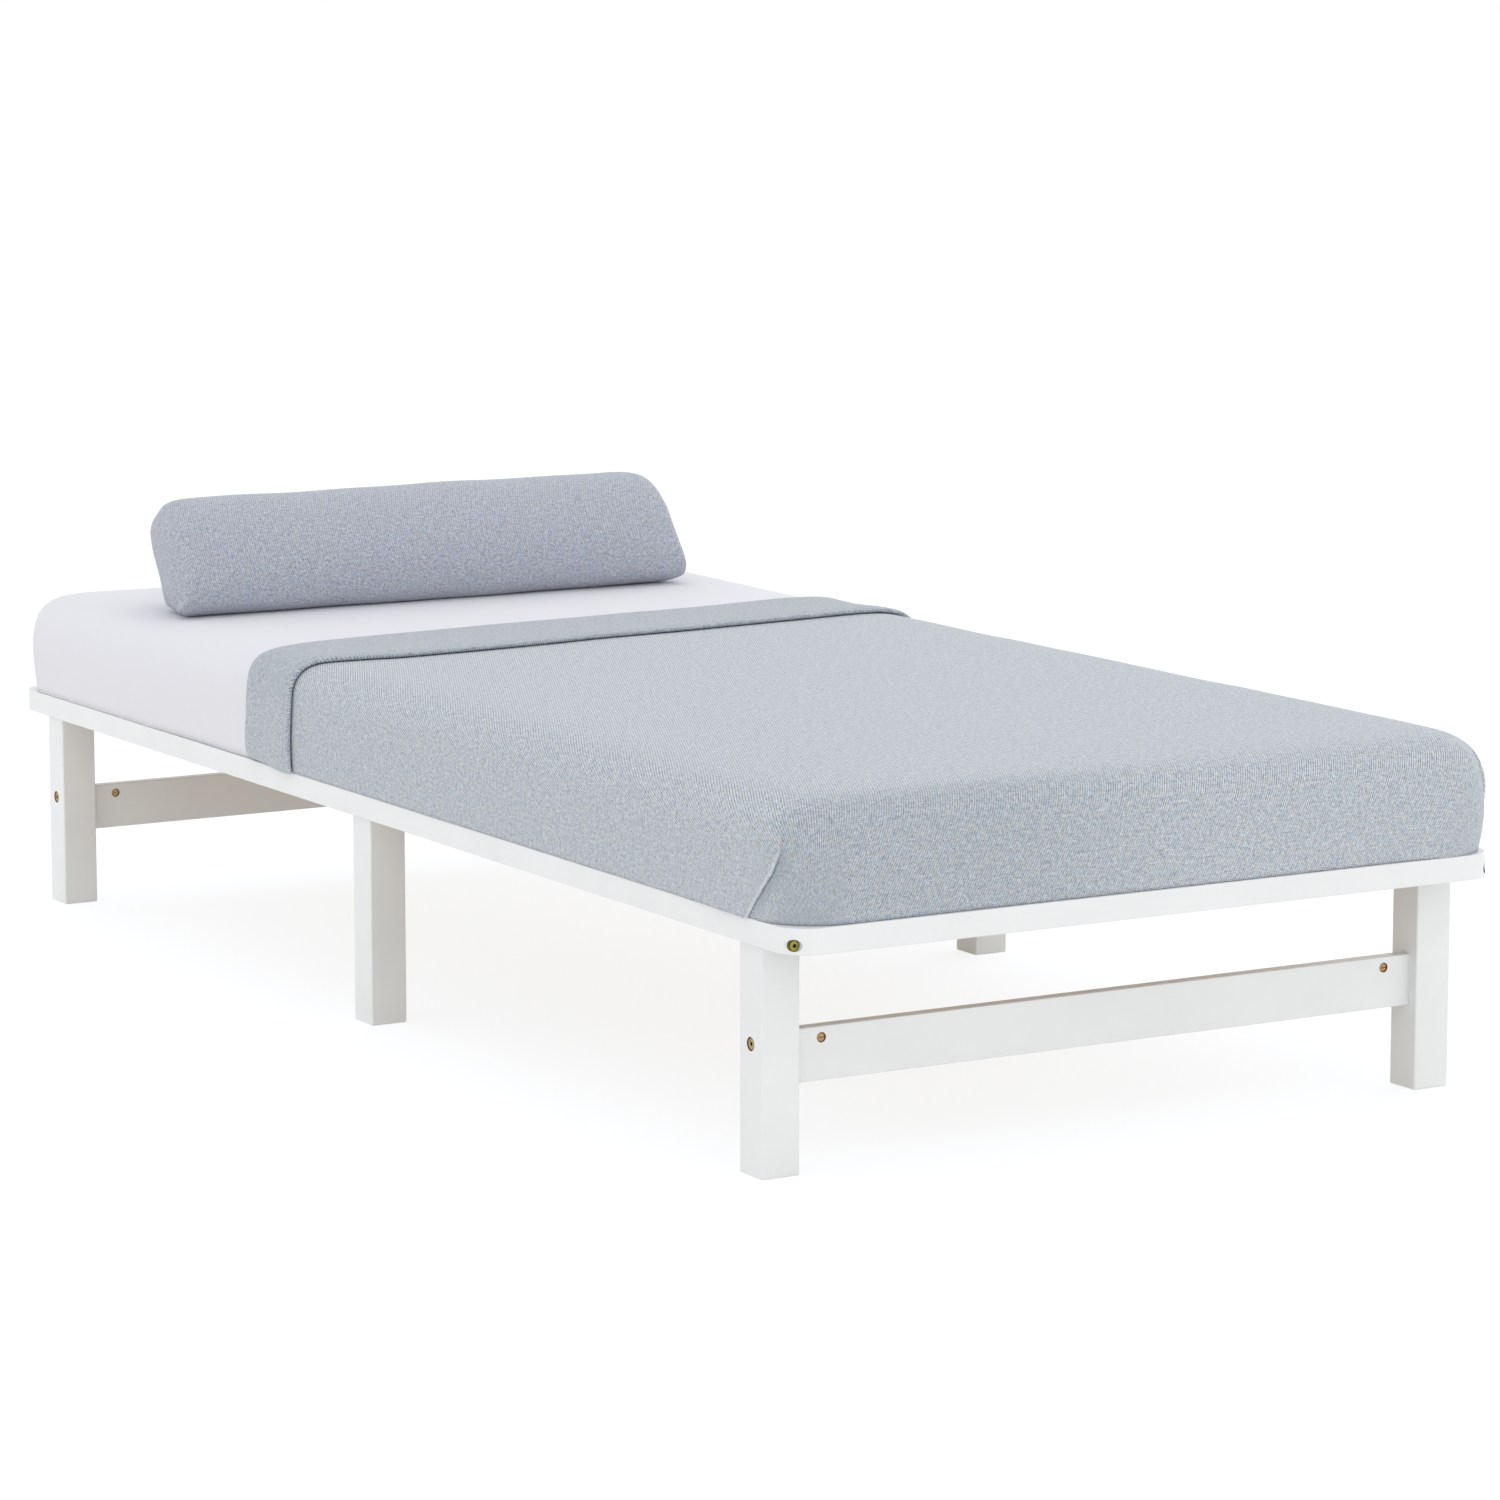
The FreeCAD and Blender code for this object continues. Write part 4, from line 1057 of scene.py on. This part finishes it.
class BED_OT_fit_sheet(bpy.types.Operator):
    """Stretch the fitted cotton sheet over the mattress, with its soft creases"""

    bl_idname = "bed.fit_sheet"
    bl_label = "Fit Sheet"

    def execute(self, context):
        look = context.scene.bed_sheet
        surface = BedSurface(context.scene.bed_mattress)
        x, y = surface.grid(look.step, HEM_CLEARANCE)
        points, normals, cloth = surface(x, y)
        over_mattress = 0.0008
        lift = over_mattress + sheet_lift(surface, points, cloth, look.crease)
        points = shared_floor(points + normals * lift[..., None], look.thickness / 2)
        faces = grid_faces(*x.shape)
        flat = points.reshape(-1, 3)
        made = mesh_object("fitted_cotton_sheet", flat, faces, cloth.reshape(-1, 2))
        give_thickness(made, look.thickness)
        cotton = cotton_cloth("white_cotton", look.cotton, look.pitch)
        finish_piece(made, cotton, "white_cotton", "fitted_sheet")
        return {"FINISHED"}


# Edges of the turned-back band, as cloth positions across the bed and the distance along it.
HEAD_EDGE = (
    (-0.60, 0.324), (-0.54, 0.317), (-0.50, 0.302), (-0.462, 0.293), (-0.436, 0.298),
    (-0.40, 0.299), (-0.34, 0.307), (-0.265, 0.319), (0.0, 0.332), (0.20, 0.349),
    (0.36, 0.366), (0.43, 0.368), (0.50, 0.364), (0.60, 0.358),
)
BAND_EDGE = (
    (-0.60, 0.188), (-0.54, 0.185), (-0.512, 0.180), (-0.477, 0.171), (-0.446, 0.173),
    (-0.42, 0.172), (-0.385, 0.152), (-0.325, 0.142), (-0.094, 0.158), (0.09, 0.177),
    (0.257, 0.195), (0.42, 0.212), (0.50, 0.214), (0.60, 0.212),
)

# Edge of the folded corner on the mattress: heights over the rail, and the distance round the
# corner from its 45 degree line.
FLAP_HEIGHTS = (0.0, 0.005, 0.030, 0.054, 0.075, 0.091, 0.105, 0.116)
FLAP_EDGE = (-0.066, -0.0619, -0.0403, -0.0243, -0.0160, -0.0161, -0.0201, -0.0225)

# How the blanket lies: the first layer's height over the mattress, the gap inside the fold, how
# much of the rolled edge's height lies under the band, the radius of the hem's corner, and where
# the band swells, as shares of its width.
FIRST_LAYER = 0.0031
FOLD_GAP = 0.0012
ROLL_BASE = 0.0026
HEM_CORNER = 0.007
BAND_SWELL = (0.35, 0.93)


def graded_line(start, end, flat, step, fine_step):
    """Places from start to end, closer together beyond the flat part at each end."""
    fine = int((end - flat) / fine_step)
    coarse = int(2 * flat / step)
    return np.concatenate([
        np.linspace(start, -flat, fine, endpoint=False),
        np.linspace(-flat, flat, coarse, endpoint=False),
        np.linspace(flat, end, fine + 1),
    ])


def edge_line(table, across):
    """The band's edge at each cloth position, rounded between the measured ones."""
    spots, values = np.array(table).T
    fine = np.linspace(spots[0], spots[-1], 400)
    line = np.interp(fine, spots, values)
    kernel = np.hanning(13)
    line = np.convolve(np.pad(line, 6, mode="edge"), kernel / kernel.sum(), mode="valid")
    return np.interp(across, fine, line)


def band_height(look, share_back):
    """Height of the band over the mattress, at a share of the way back from the fold."""
    over = FIRST_LAYER + look.thickness + FOLD_GAP
    return over + (look.roll - ROLL_BASE) * smooth_step(share_back, *BAND_SWELL)


def blanket_lift(surface, look, points, cloth):
    """How far waves, the folded corners and a bulge lift the blanket.

    Also gives the fields from which the material paints a highlight and shade along the folded
    corners, and the painted shade on the foot face."""
    x, y, z = points[..., 0], points[..., 1], points[..., 2]
    height = z - RAIL_TOP
    waves = 0.5 + 0.5 * soft_waves(cloth[..., 0], cloth[..., 1], BLANKET_WAVES)
    lift = 0.0016 * waves
    folds = {name: np.zeros_like(x) for name in FOLD_FIELDS}
    for side in (-1, 1):
        past = past_corner(surface, side * x, y)
        ahead = past - np.interp(height, FLAP_HEIGHTS, FLAP_EDGE)
        here = (side * x > 0) & (y < -0.5)
        strength = smooth_step(past, -0.24, -0.09) * (1 - smooth_step(past, 0.06, 0.16))
        strength = strength * (1 - smooth_step(height, 0.092, 0.122)) * here
        flap = 1 - smooth_step(ahead, -0.0020, 0.0020)
        hollow = bell(ahead, 0.008, 0.016) * (ahead > 0)
        hollow = hollow * (1 - 0.6 * smooth_step(height, 0.03, 0.09))
        lift = lift + strength * (look.flap * flap - 0.0010 * hollow)
        folds["fold_past"] += np.where(here, ahead, 0.0)
        folds["fold_near"] += strength * (1 - 0.8 * smooth_step(height, 0.062, 0.082))
    # Painted shade on the foot face, on its left part.
    painted_foot_shade = smooth_step(surface.half_along + y, 0.055, 0.015)
    folds["painted_cloth_shade"] += 0.14 * painted_foot_shade * (1 - smooth_step(x, -0.22, 0.10))
    bulge = smooth_step(x, 0.30, 0.44) * bell(height, 0.05, 0.06) * smooth_step(-y, -0.3, 0.9)
    return lift + 0.012 * bulge, folds


def past_corner(surface, out, y):
    """Distance round the foot corner, from its 45 degree line: negative on the side panel."""
    quarter = surface.corner * math.pi / 4
    start_x, start_y = surface.half_across - surface.corner, surface.half_along - surface.corner
    turn = np.arctan2(-y - start_y, out - start_x)
    past = np.where(out <= start_x, start_x - out + quarter, (turn - math.pi / 4) * surface.corner)
    return np.where((-y < start_y) & (out > start_x), -(y + start_y) - quarter, past)


def draw_up_hem(across, along, head, half, rise):
    """Near its head edge the blanket's hem stays clear of the rail, with a rounded corner."""
    back = head[None, :] - along
    inside = np.clip(1 - back / HEM_CORNER, 0, 1)
    drawn = rise * (1 - smooth_step(back, 0.02, 0.115)) + HEM_CORNER * (1 - np.sqrt(1 - inside**2))
    near = smooth_step(np.abs(across), half - 0.09, half)
    return np.sign(across) * (np.abs(across) - drawn * near)


class BED_OT_lay_blanket(bpy.types.Operator):
    """Lay the blanket over the bed, tuck it in at the foot and turn its head edge back as a band"""

    bl_idname = "bed.lay_blanket"
    bl_label = "Lay Blanket"

    def execute(self, context):
        look = context.scene.bed_blanket
        surface = BedSurface(context.scene.bed_mattress)
        half, foot = surface.half_size(HEM_CLEARANCE)
        foot = -foot
        across = graded_line(-half, half, surface.flat_across, look.step, look.fine_step)
        head, band = edge_line(HEAD_EDGE, across), edge_line(BAND_EDGE, across)
        rows = graded_line(foot, -foot, surface.flat_along, look.step, look.fine_step)
        along, heights, first_rows = self.lay_rows(look, rows, foot, head, band)
        x = np.repeat(across[None, :], len(along), 0)
        x = draw_up_hem(x, along, head, half, look.hem_rise)
        points, normals, cloth = surface(x, along)
        lift, folds = blanket_lift(surface, look, points, cloth)
        lift = heights + lift
        points = shared_floor(points + normals * lift[..., None], 0.0002)
        # Painted shade on the turned-back band, deepest on its top and less down its side.
        up = points[first_rows:, :, 2] - surface.base
        folds["painted_cloth_shade"][first_rows:] += 0.02 + 0.14 * smooth_step(up, 0.06, 0.118)
        steps = np.linalg.norm(np.diff(points[first_rows - 1 :], axis=0), axis=2)
        cloth[first_rows:, :, 1] = cloth[first_rows - 1, :, 1] + np.cumsum(steps, axis=0)
        faces = grid_faces(*along.shape)
        flat = points.reshape(-1, 3)
        made = mesh_object("woven_blanket", flat, faces, cloth.reshape(-1, 2))
        for name, values in folds.items():
            attribute = made.data.attributes.new(name, "FLOAT", "POINT")
            attribute.data.foreach_set("value", values.ravel().astype(np.float32))
        give_thickness(made, look.thickness)
        cover = twill_cloth(
            "heathered_blanket", look.light_yarn, look.dark_yarn, look.pitch, look.lean
        )
        finish_piece(made, cover, "blue_wool", "blanket")
        return {"FINISHED"}

    def lay_rows(self, look, rows, foot, head, band):
        """Cloth positions and heights of all rows, and how many of them are the first layer's.

        The rows run from the foot up to the head edge, round the fold, back over the band and
        round its rolled edge."""
        used_up_to, back_rows, turn_rows = 0.30, 22, 7
        fold_depth, roll_depth, roll_back, roll_sunk = 1.6, 0.0042, 0.003, 0.0004
        share_up = (rows[rows < used_up_to] - foot) / (used_up_to - foot)
        share_up = share_up / share_up[-1]
        first = foot + (head - foot) * share_up[:, None]
        over = FIRST_LAYER + look.thickness + FOLD_GAP
        fold_half = (over - FIRST_LAYER) / 2
        fold_turns = np.linspace(-math.pi / 2, math.pi / 2, turn_rows)[1:-1, None]
        fold = head + np.cos(fold_turns) * fold_half * fold_depth
        share_back = np.linspace(0, 1, back_rows)[:, None]
        back = head + (band - head) * share_back
        roll_turns = np.linspace(0, 1, turn_rows)[1:, None]
        roll = band - np.sin(roll_turns * math.pi) * roll_depth + roll_turns * roll_back
        roll_top = over + look.roll - ROLL_BASE
        layers = (
            (first, FIRST_LAYER),
            (fold, FIRST_LAYER + fold_half + np.sin(fold_turns) * fold_half),
            (back, band_height(look, share_back)),
            (roll, roll_top - (roll_top - over + roll_sunk) * smooth_step(roll_turns, 0, 1)),
        )
        along = np.vstack([places for places, _ in layers])
        heights = np.vstack([np.broadcast_to(height, places.shape) for places, height in layers])
        return along, heights, len(first)


def arc_points(first, middle, last, count):
    """Points on the circle arc through three points, without the last one."""
    (ax, ay), (bx, by), (cx, cy) = first, middle, last
    d = 2 * (ax * (by - cy) + bx * (cy - ay) + cx * (ay - by))
    a2, b2, c2 = ax * ax + ay * ay, bx * bx + by * by, cx * cx + cy * cy
    ox = (a2 * (by - cy) + b2 * (cy - ay) + c2 * (ay - by)) / d
    oy = (a2 * (cx - bx) + b2 * (ax - cx) + c2 * (bx - ax)) / d
    start, end = math.atan2(ay - oy, ax - ox), math.atan2(cy - oy, cx - ox)
    turn = (end - start + math.pi) % math.tau - math.pi
    radius = math.hypot(ax - ox, ay - oy)
    angles = start + turn * np.linspace(0, 1, count, endpoint=False)
    return [(ox + radius * math.cos(t), oy + radius * math.sin(t)) for t in angles]


# Rounding of the bolster's ends: distance in from the end, and the share of its full section
# there. Then the width of its flat foot, and the radius that its cloth is measured round.
BOLSTER_ENDS = (
    (0.0, 0.885), (0.003, 0.925), (0.008, 0.958), (0.016, 0.982), (0.030, 0.995), (0.055, 1.0),
)
BOLSTER_FOOT = 0.078
BOLSTER_RADIUS = 0.072


def bolster_ring(deep, high, base):
    """Outline of the bolster's section: flat below, full in front and behind."""
    side_up = high * 0.46
    ring = arc_points((-base / 2, 0), (-deep / 2 * 0.90, side_up * 0.40), (-deep / 2, side_up), 12)
    ring += arc_points((-deep / 2, side_up), (-deep / 2 * 0.74, high * 0.845), (0, high), 14)
    ring += arc_points((0, high), (deep / 2 * 0.74, high * 0.845), (deep / 2, side_up), 14)
    ring += arc_points((deep / 2, side_up), (deep / 2 * 0.90, side_up * 0.40), (base / 2, 0), 12)
    ring += [(base / 2 * t, 0) for t in np.linspace(1, -1, 9)[:-1]]
    return np.array(ring)


def swell_cover(made, form, frames=20):
    """Fills a closed cover by cloth simulation with pressure, then keeps the result, capped."""
    scene = bpy.context.scene
    mesh = made.data
    start = read_points(mesh)
    modifier = made.modifiers.new("filling", "CLOTH")
    settings = modifier.settings
    settings.quality = 6
    settings.mass = 0.25
    settings.use_pressure = True
    settings.uniform_pressure_force = form.pressure
    settings.effector_weights.gravity = 0
    settings.tension_stiffness = settings.compression_stiffness = 12
    modifier.point_cache.frame_start, modifier.point_cache.frame_end = 1, frames
    for number in range(1, frames + 1):
        scene.frame_set(number)
    graph = bpy.context.evaluated_depsgraph_get()
    push = read_points(made.evaluated_get(graph).data) - start
    distance = np.linalg.norm(push, axis=1, keepdims=True)
    push *= np.minimum(1, form.swell / np.maximum(distance, 1e-9))
    made.modifiers.clear()
    scene.frame_set(1)
    mesh.vertices.foreach_set("co", (start + push).astype(np.float32).ravel())
    mesh.update()


def box_cloth_map(made, centre):
    """Cloth coordinates for a roll: round the roll along its length, flat on its two ends."""
    mesh = made.data
    points = read_points(mesh) - np.array(centre)
    layer = mesh.uv_layers.new(name="cloth")
    uv = np.zeros((len(mesh.loops), 2), np.float32)
    for polygon in mesh.polygons:
        loops = slice(polygon.loop_start, polygon.loop_start + polygon.loop_total)
        corners = points[list(polygon.vertices)]
        if abs(polygon.normal.x) > 0.72:
            uv[loops] = corners[:, 1:3]
            continue
        angle = np.arctan2(corners[:, 1], -corners[:, 2])
        if np.ptp(angle) > math.pi:
            angle = np.where(angle < 0, angle + math.tau, angle)
        uv[loops, 0] = corners[:, 0]
        uv[loops, 1] = angle * BOLSTER_RADIUS
    layer.data.foreach_set("uv", uv.ravel())


class BED_OT_stuff_bolster(bpy.types.Operator):
    """Shape the bolster's cover and fill it by cloth simulation"""

    bl_idname = "bed.stuff_bolster"
    bl_label = "Stuff Bolster"

    def execute(self, context):
        form = context.scene.bed_bolster
        low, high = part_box("bolster")
        middle, along = (low.x + high.x) / 2, (low.y + high.y) / 2
        made = self.sew_cover(low, high, form.shrink)
        remesh = made.modifiers.new("even", "REMESH")
        remesh.mode = "VOXEL"
        remesh.voxel_size = form.voxel
        remesh.use_smooth_shade = True
        settle(made)
        swell_cover(made, form)
        mesh = made.data
        co = read_points(mesh)
        least, most = co.min(0), co.max(0)
        co = np.array(low) + (co - least) / (most - least) * (np.array(high) - np.array(low))
        self.tuck(co, low, high, along)
        self.draw_in_ends(co, low, high, along, form.end_draw)
        co[:, 1] += form.lean * (co[:, 2] - (low.z + high.z) / 2)
        co[:, 2] = np.maximum(co[:, 2], low.z + 0.0008)
        mesh.vertices.foreach_set("co", co.ravel())
        mesh.update()
        settle(made, 1)
        for polygon in made.data.polygons:
            polygon.use_smooth = True
        box_cloth_map(made, (middle, along, (low.z + high.z) / 2))
        cover = twill_cloth(
            "heathered_bolster", form.light_yarn, form.dark_yarn,
            context.scene.bed_blanket.pitch * 0.9, 0.45, 0.42,
        )
        finish_piece(made, cover, "bolster_wool", "bolster")
        return {"FINISHED"}

    def sew_cover(self, low, high, inset):
        """A closed cover of rings along the bolster's box, with rounded ends."""
        deep, tall, wide = high.y - low.y, high.z - low.z, high.x - low.x
        middle, along = (low.x + high.x) / 2, (low.y + high.y) / 2
        stations = [(-wide / 2 + out, scale) for out, scale in BOLSTER_ENDS]
        stations += [(place, 1.0) for place in np.linspace(-wide / 2 + 0.09, wide / 2 - 0.09, 40)]
        stations += [(wide / 2 - out, scale) for out, scale in reversed(BOLSTER_ENDS)]
        rings = []
        for place, scale in stations:
            ring = bolster_ring(deep - 2 * inset, tall - 2 * inset, BOLSTER_FOOT)
            ring[:, 0] *= scale + (1 - scale) * (1 - ring[:, 1] / tall) ** 2
            ring[:, 1] *= scale
            x = np.full(len(ring), place * (1 - inset / wide * 2) + middle)
            rings.append(np.stack([x, ring[:, 0] + along, ring[:, 1] + low.z + inset], -1))
        around = len(rings[0])
        points = np.vstack(rings)
        faces = []
        for row in range(0, len(points) - around, around):
            for spot in range(around):
                near, far = row + spot, row + (spot + 1) % around
                faces.append((near, near + around, far + around, far))
        faces.append(tuple(range(around)))
        faces.append(tuple(reversed(range(len(points) - around, len(points)))))
        return mesh_object("bolster_cover", points, faces)

    def draw_in_ends(self, co, low, high, along, draw):
        """The ends slant inwards to the top and back, where the filling pulls the cover short.

        The lower front corner of the left end stands out a little instead."""
        up = np.clip((co[:, 2] - low.z) / (high.z - low.z), 0, 1)
        behind = smooth_step(co[:, 1] - along, -0.04, 0.075)
        low_back = smooth_step(up, -0.45, 0.4)
        left = 0.24 * smooth_step(up, 0.66, 1.0) + 0.58 * behind * (1 - 0.88 * up) * low_back
        left -= 0.25 * (1 - behind) * (1 - smooth_step(up, 0.0, 0.28))
        right = 0.50 * smooth_step(up, -0.05, 0.6)
        middle, half = (low.x + high.x) / 2, (high.x - low.x) / 2
        out = (co[:, 0] - middle) / half
        pull = draw * np.where(out < 0, left, right)
        co[:, 0] -= np.sign(out) * pull * smooth_step(np.abs(out), 0.66, 1.0) ** 0.8

    def tuck(self, co, low, high, along):
        """Sewn end rims, the pinched tuck low at each end, and a slightly uneven filling."""
        x, y, z = co[:, 0], co[:, 1] - along, co[:, 2] - low.z
        centre_up = 0.07
        for end, side in ((low.x, -1), (high.x, 1)):
            away = (x - end) * -side
            pinch = bell(away, 0.004, 0.009) * bell(y, -0.036, 0.012) * bell(z, 0.021, 0.008)
            co[:, 0] -= side * 0.007 * pinch
            co[:, 1] += 0.004 * pinch
            spokes = np.sin(np.arctan2(z - centre_up, y) * 9 + side) * bell(away, 0.006, 0.014)
            co[:, 0] -= side * 0.0004 * spokes
        uneven = np.sin(x * 17 + 1.3) * 0.6 + np.sin(x * 41 + y * 30) * 0.4
        out = np.stack([np.zeros_like(y), y, z - centre_up], -1)
        out /= np.maximum(np.linalg.norm(out, axis=1, keepdims=True), 1e-6)
        middle = 1 - np.clip(np.abs(x - (low.x + high.x) / 2) / 0.36, 0, 1) ** 4
        co += out * (0.0011 * uneven * middle)[:, None]


def build_stitches(tree, given):
    """Short raised stitches laid one after the other along a seam."""
    ball = add_node(tree, "GeometryNodeMeshUVSphere", {"Segments": 8, "Rings": 5, "Radius": 1.0})
    long, thick = times(tree, given["Stitch Length"], 0.5), given["Thread Radius"]
    size = add_node(tree, "ShaderNodeCombineXYZ", {0: long, 1: thick, 2: thick})
    thread = add_node(
        tree, "GeometryNodeTransform", {"Geometry": ball.outputs[0], "Scale": size.outputs[0]}
    )
    jitter = add_node(
        tree, "FunctionNodeRandomValue", {2: 0.9, 3: 1.1, "Seed": given["Seed"]}, data_type="FLOAT"
    )
    laid = set_on_points(tree, given, thread.outputs[0], "X", jitter.outputs[1])
    return {"Stitches": laid}


def stitch_tree():
    inputs = (
        ("Places", "Geometry", None), ("Stitch Length", "Float", None),
        ("Thread Radius", "Float", None), ("Seed", "Int", None), ("Finish", "Material", None),
    )
    outputs = (("Stitches", "Geometry"),)
    return node_group("Hem Stitches", inputs, outputs, build_stitches, "GeometryNodeTree")


def thread_material(name, tint):
    material, tree, shader = new_material(name)
    place = object_vector(tree)
    twist = noise(tree, place, 1800.0, 2.0)
    tint = Vector(tint)
    tree.links.new(blend_colour(tree, twist, tint * 0.8, tint * 1.1), shader.inputs["Base Color"])
    tree.links.new(fit_range(tree, twist, 0.3, 0.7, 0.6, 0.8), shader.inputs["Roughness"])
    set_bump(tree, shader, twist, 0.0001, 0.5)
    return material


class BED_OT_sew_hem(bpy.types.Operator):
    """Sew the hem of the turned-back band with a row of stitches"""

    bl_idname = "bed.sew_hem"
    bl_label = "Sew Hem"

    def execute(self, context):
        look = context.scene.bed_blanket
        surface = BedSurface(context.scene.bed_mattress)
        seam_ends, seam_in, sunk = 0.008, 0.009, 0.0001
        half = surface.flat_across + surface.reach - seam_ends
        count = int(2 * half / look.stitch_pitch)
        across = np.linspace(-half, half, count)
        head, band = edge_line(HEAD_EDGE, across), edge_line(BAND_EDGE, across)
        along = band + seam_in
        points, normals, cloth = surface(across, along)
        share_back = (along - head) / (band - head)
        heights = band_height(look, share_back) + look.thickness / 2
        lift, _ = blanket_lift(surface, look, points, cloth)
        points = points + normals * (heights + lift - sunk)[..., None]
        run = np.gradient(points, axis=0)
        run /= np.linalg.norm(run, axis=1, keepdims=True)
        values = {
            "Stitch Length": look.stitch_pitch * 0.72, "Thread Radius": 0.0004,
            "Seed": context.scene.bed_studio.seed,
            "Finish": thread_material("hem_thread", Vector(look.dark_yarn) * 2.4),
        }
        made = grow_from_points("blanket_hem_stitches", stitch_tree(), points, run, values)
        finish_piece(made, None, "blue_wool")
        return {"FINISHED"}


# Where the camera stands and how it is turned, as fitted to the frame's straight edges.
CAMERA_PLACE = (-3.2671, -5.6867, 1.3318)
CAMERA_TURN = (math.pi / 2 - 0.15737, 0.0, -0.53257)


def seen_by_camera(tree):
    """1 where the camera looks, through glass and in reflections too, and 0 for other light."""
    path = tree.nodes.new("ShaderNodeLightPath").outputs
    seen = calc(tree, "MAXIMUM", path["Is Camera Ray"], path["Is Glossy Ray"])
    return calc(tree, "MAXIMUM", seen, path["Is Transmission Ray"])


class BED_OT_set_stage(bpy.types.Operator):
    """Lay the pale floor and set the soft studio light and the camera"""

    bl_idname = "bed.set_stage"
    bl_label = "Set Stage"

    def execute(self, context):
        scene, studio = context.scene, context.scene.bed_studio
        scene.view_settings.view_transform = "Standard"
        self.lay_floor(studio)
        self.light(scene, studio)
        data = bpy.data.cameras.new("photo_camera")
        data.lens, data.sensor_width = studio.lens, 36.0
        data.clip_end = 100.0
        camera = bpy.data.objects.new("photo_camera", data)
        camera.location, camera.rotation_euler = CAMERA_PLACE, CAMERA_TURN
        scene.collection.objects.link(camera)
        scene.camera = camera
        return {"FINISHED"}

    def lay_floor(self, studio):
        size = 30.0
        points = [(-size, -size, 0), (size, -size, 0), (size, size, 0), (-size, size, 0)]
        floor = mesh_object("studio_floor", points, [(0, 1, 2, 3)])
        material, tree, shader = new_material("pale_floor")
        seen = seen_by_camera(tree)
        tone = blend_colour(tree, seen, studio.floor, studio.floor_seen)
        lift = times(tree, seen, studio.floor_lift)
        dull = {"Roughness": 0.9, "Specular IOR Level": 0.1}
        glow = {"Emission Color": (1, 1, 1, 1), "Emission Strength": lift}
        set_inputs(tree, shader, {"Base Color": tone, **dull, **glow})
        floor.data.materials.append(material)

    def light(self, scene, studio):
        world = bpy.data.worlds.new("studio_surround")
        world.use_nodes = True
        tree = world.node_tree
        tree.nodes.clear()
        strength = fit_range(tree, seen_by_camera(tree), 0.0, 1.0, studio.surround, 1.0)
        back = add_node(tree, "ShaderNodeBackground", {"Color": (1, 1, 1, 1), "Strength": strength})
        output = tree.nodes.new("ShaderNodeOutputWorld")
        tree.links.new(back.outputs[0], output.inputs[0])
        scene.world = world
        self.lamp("front_softbox", (0.6, -4.6, 0.42), (0.0, 0.0, 0.16), (2.6, 0.8), studio.key)
        self.lamp("left_softbox", (-5.2, -0.2, 1.7), (0.0, 0.0, 0.30), (3.2, 3.2), studio.side)
        self.lamp("right_softbox", (4.5, 1.5, 1.6), (0.0, 0.0, 0.30), (2.6, 2.0), studio.rim)
        self.lamp("top_softbox", (-0.3, 0.2, 4.6), (0.0, 0.0, 0.30), (1.5, 1.5), studio.top)

    def lamp(self, name, place, aim, sides, power):
        data = bpy.data.lights.new(name, "AREA")
        data.shape, data.energy = "RECTANGLE", power
        data.size, data.size_y = sides
        lamp = bpy.data.objects.new(name, data)
        lamp.location = place
        lamp.rotation_euler = (Vector(aim) - Vector(place)).to_track_quat("-Z", "Y").to_euler()
        bpy.context.scene.collection.objects.link(lamp)


STEPS = (
    BED_OT_paint_frame,
    BED_OT_finish_base,
    BED_OT_plate_bolts,
    BED_OT_fit_screws,
    BED_OT_fill_mattress,
    BED_OT_fit_sheet,
    BED_OT_lay_blanket,
    BED_OT_sew_hem,
    BED_OT_stuff_bolster,
    BED_OT_set_stage,
)


class BED_PT_build(bpy.types.Panel):
    """Steps and settings of the pallet bed"""

    bl_label = "Pallet Bed"
    bl_idname = "BED_PT_build"
    bl_space_type = "VIEW_3D"
    bl_region_type = "UI"
    bl_category = "Pallet Bed"

    def draw(self, context):
        for step in STEPS:
            self.layout.operator(step.bl_idname)
        for name, group in SETTINGS.items():
            box = self.layout.box()
            for key in group.__annotations__:
                box.prop(getattr(context.scene, name), key)


CLASSES = (*SETTINGS.values(), *STEPS, BED_PT_build)


def register():
    for item in CLASSES:
        bpy.utils.register_class(item)
    for name, group in SETTINGS.items():
        setattr(bpy.types.Scene, name, PointerProperty(type=group))


def unregister():
    for name in SETTINGS:
        delattr(bpy.types.Scene, name)
    for item in reversed(CLASSES):
        bpy.utils.unregister_class(item)


def main():
    register()
    for step in STEPS:
        group, name = step.bl_idname.split(".")
        getattr(getattr(bpy.ops, group), name)()


if __name__ == "__main__":
    main()
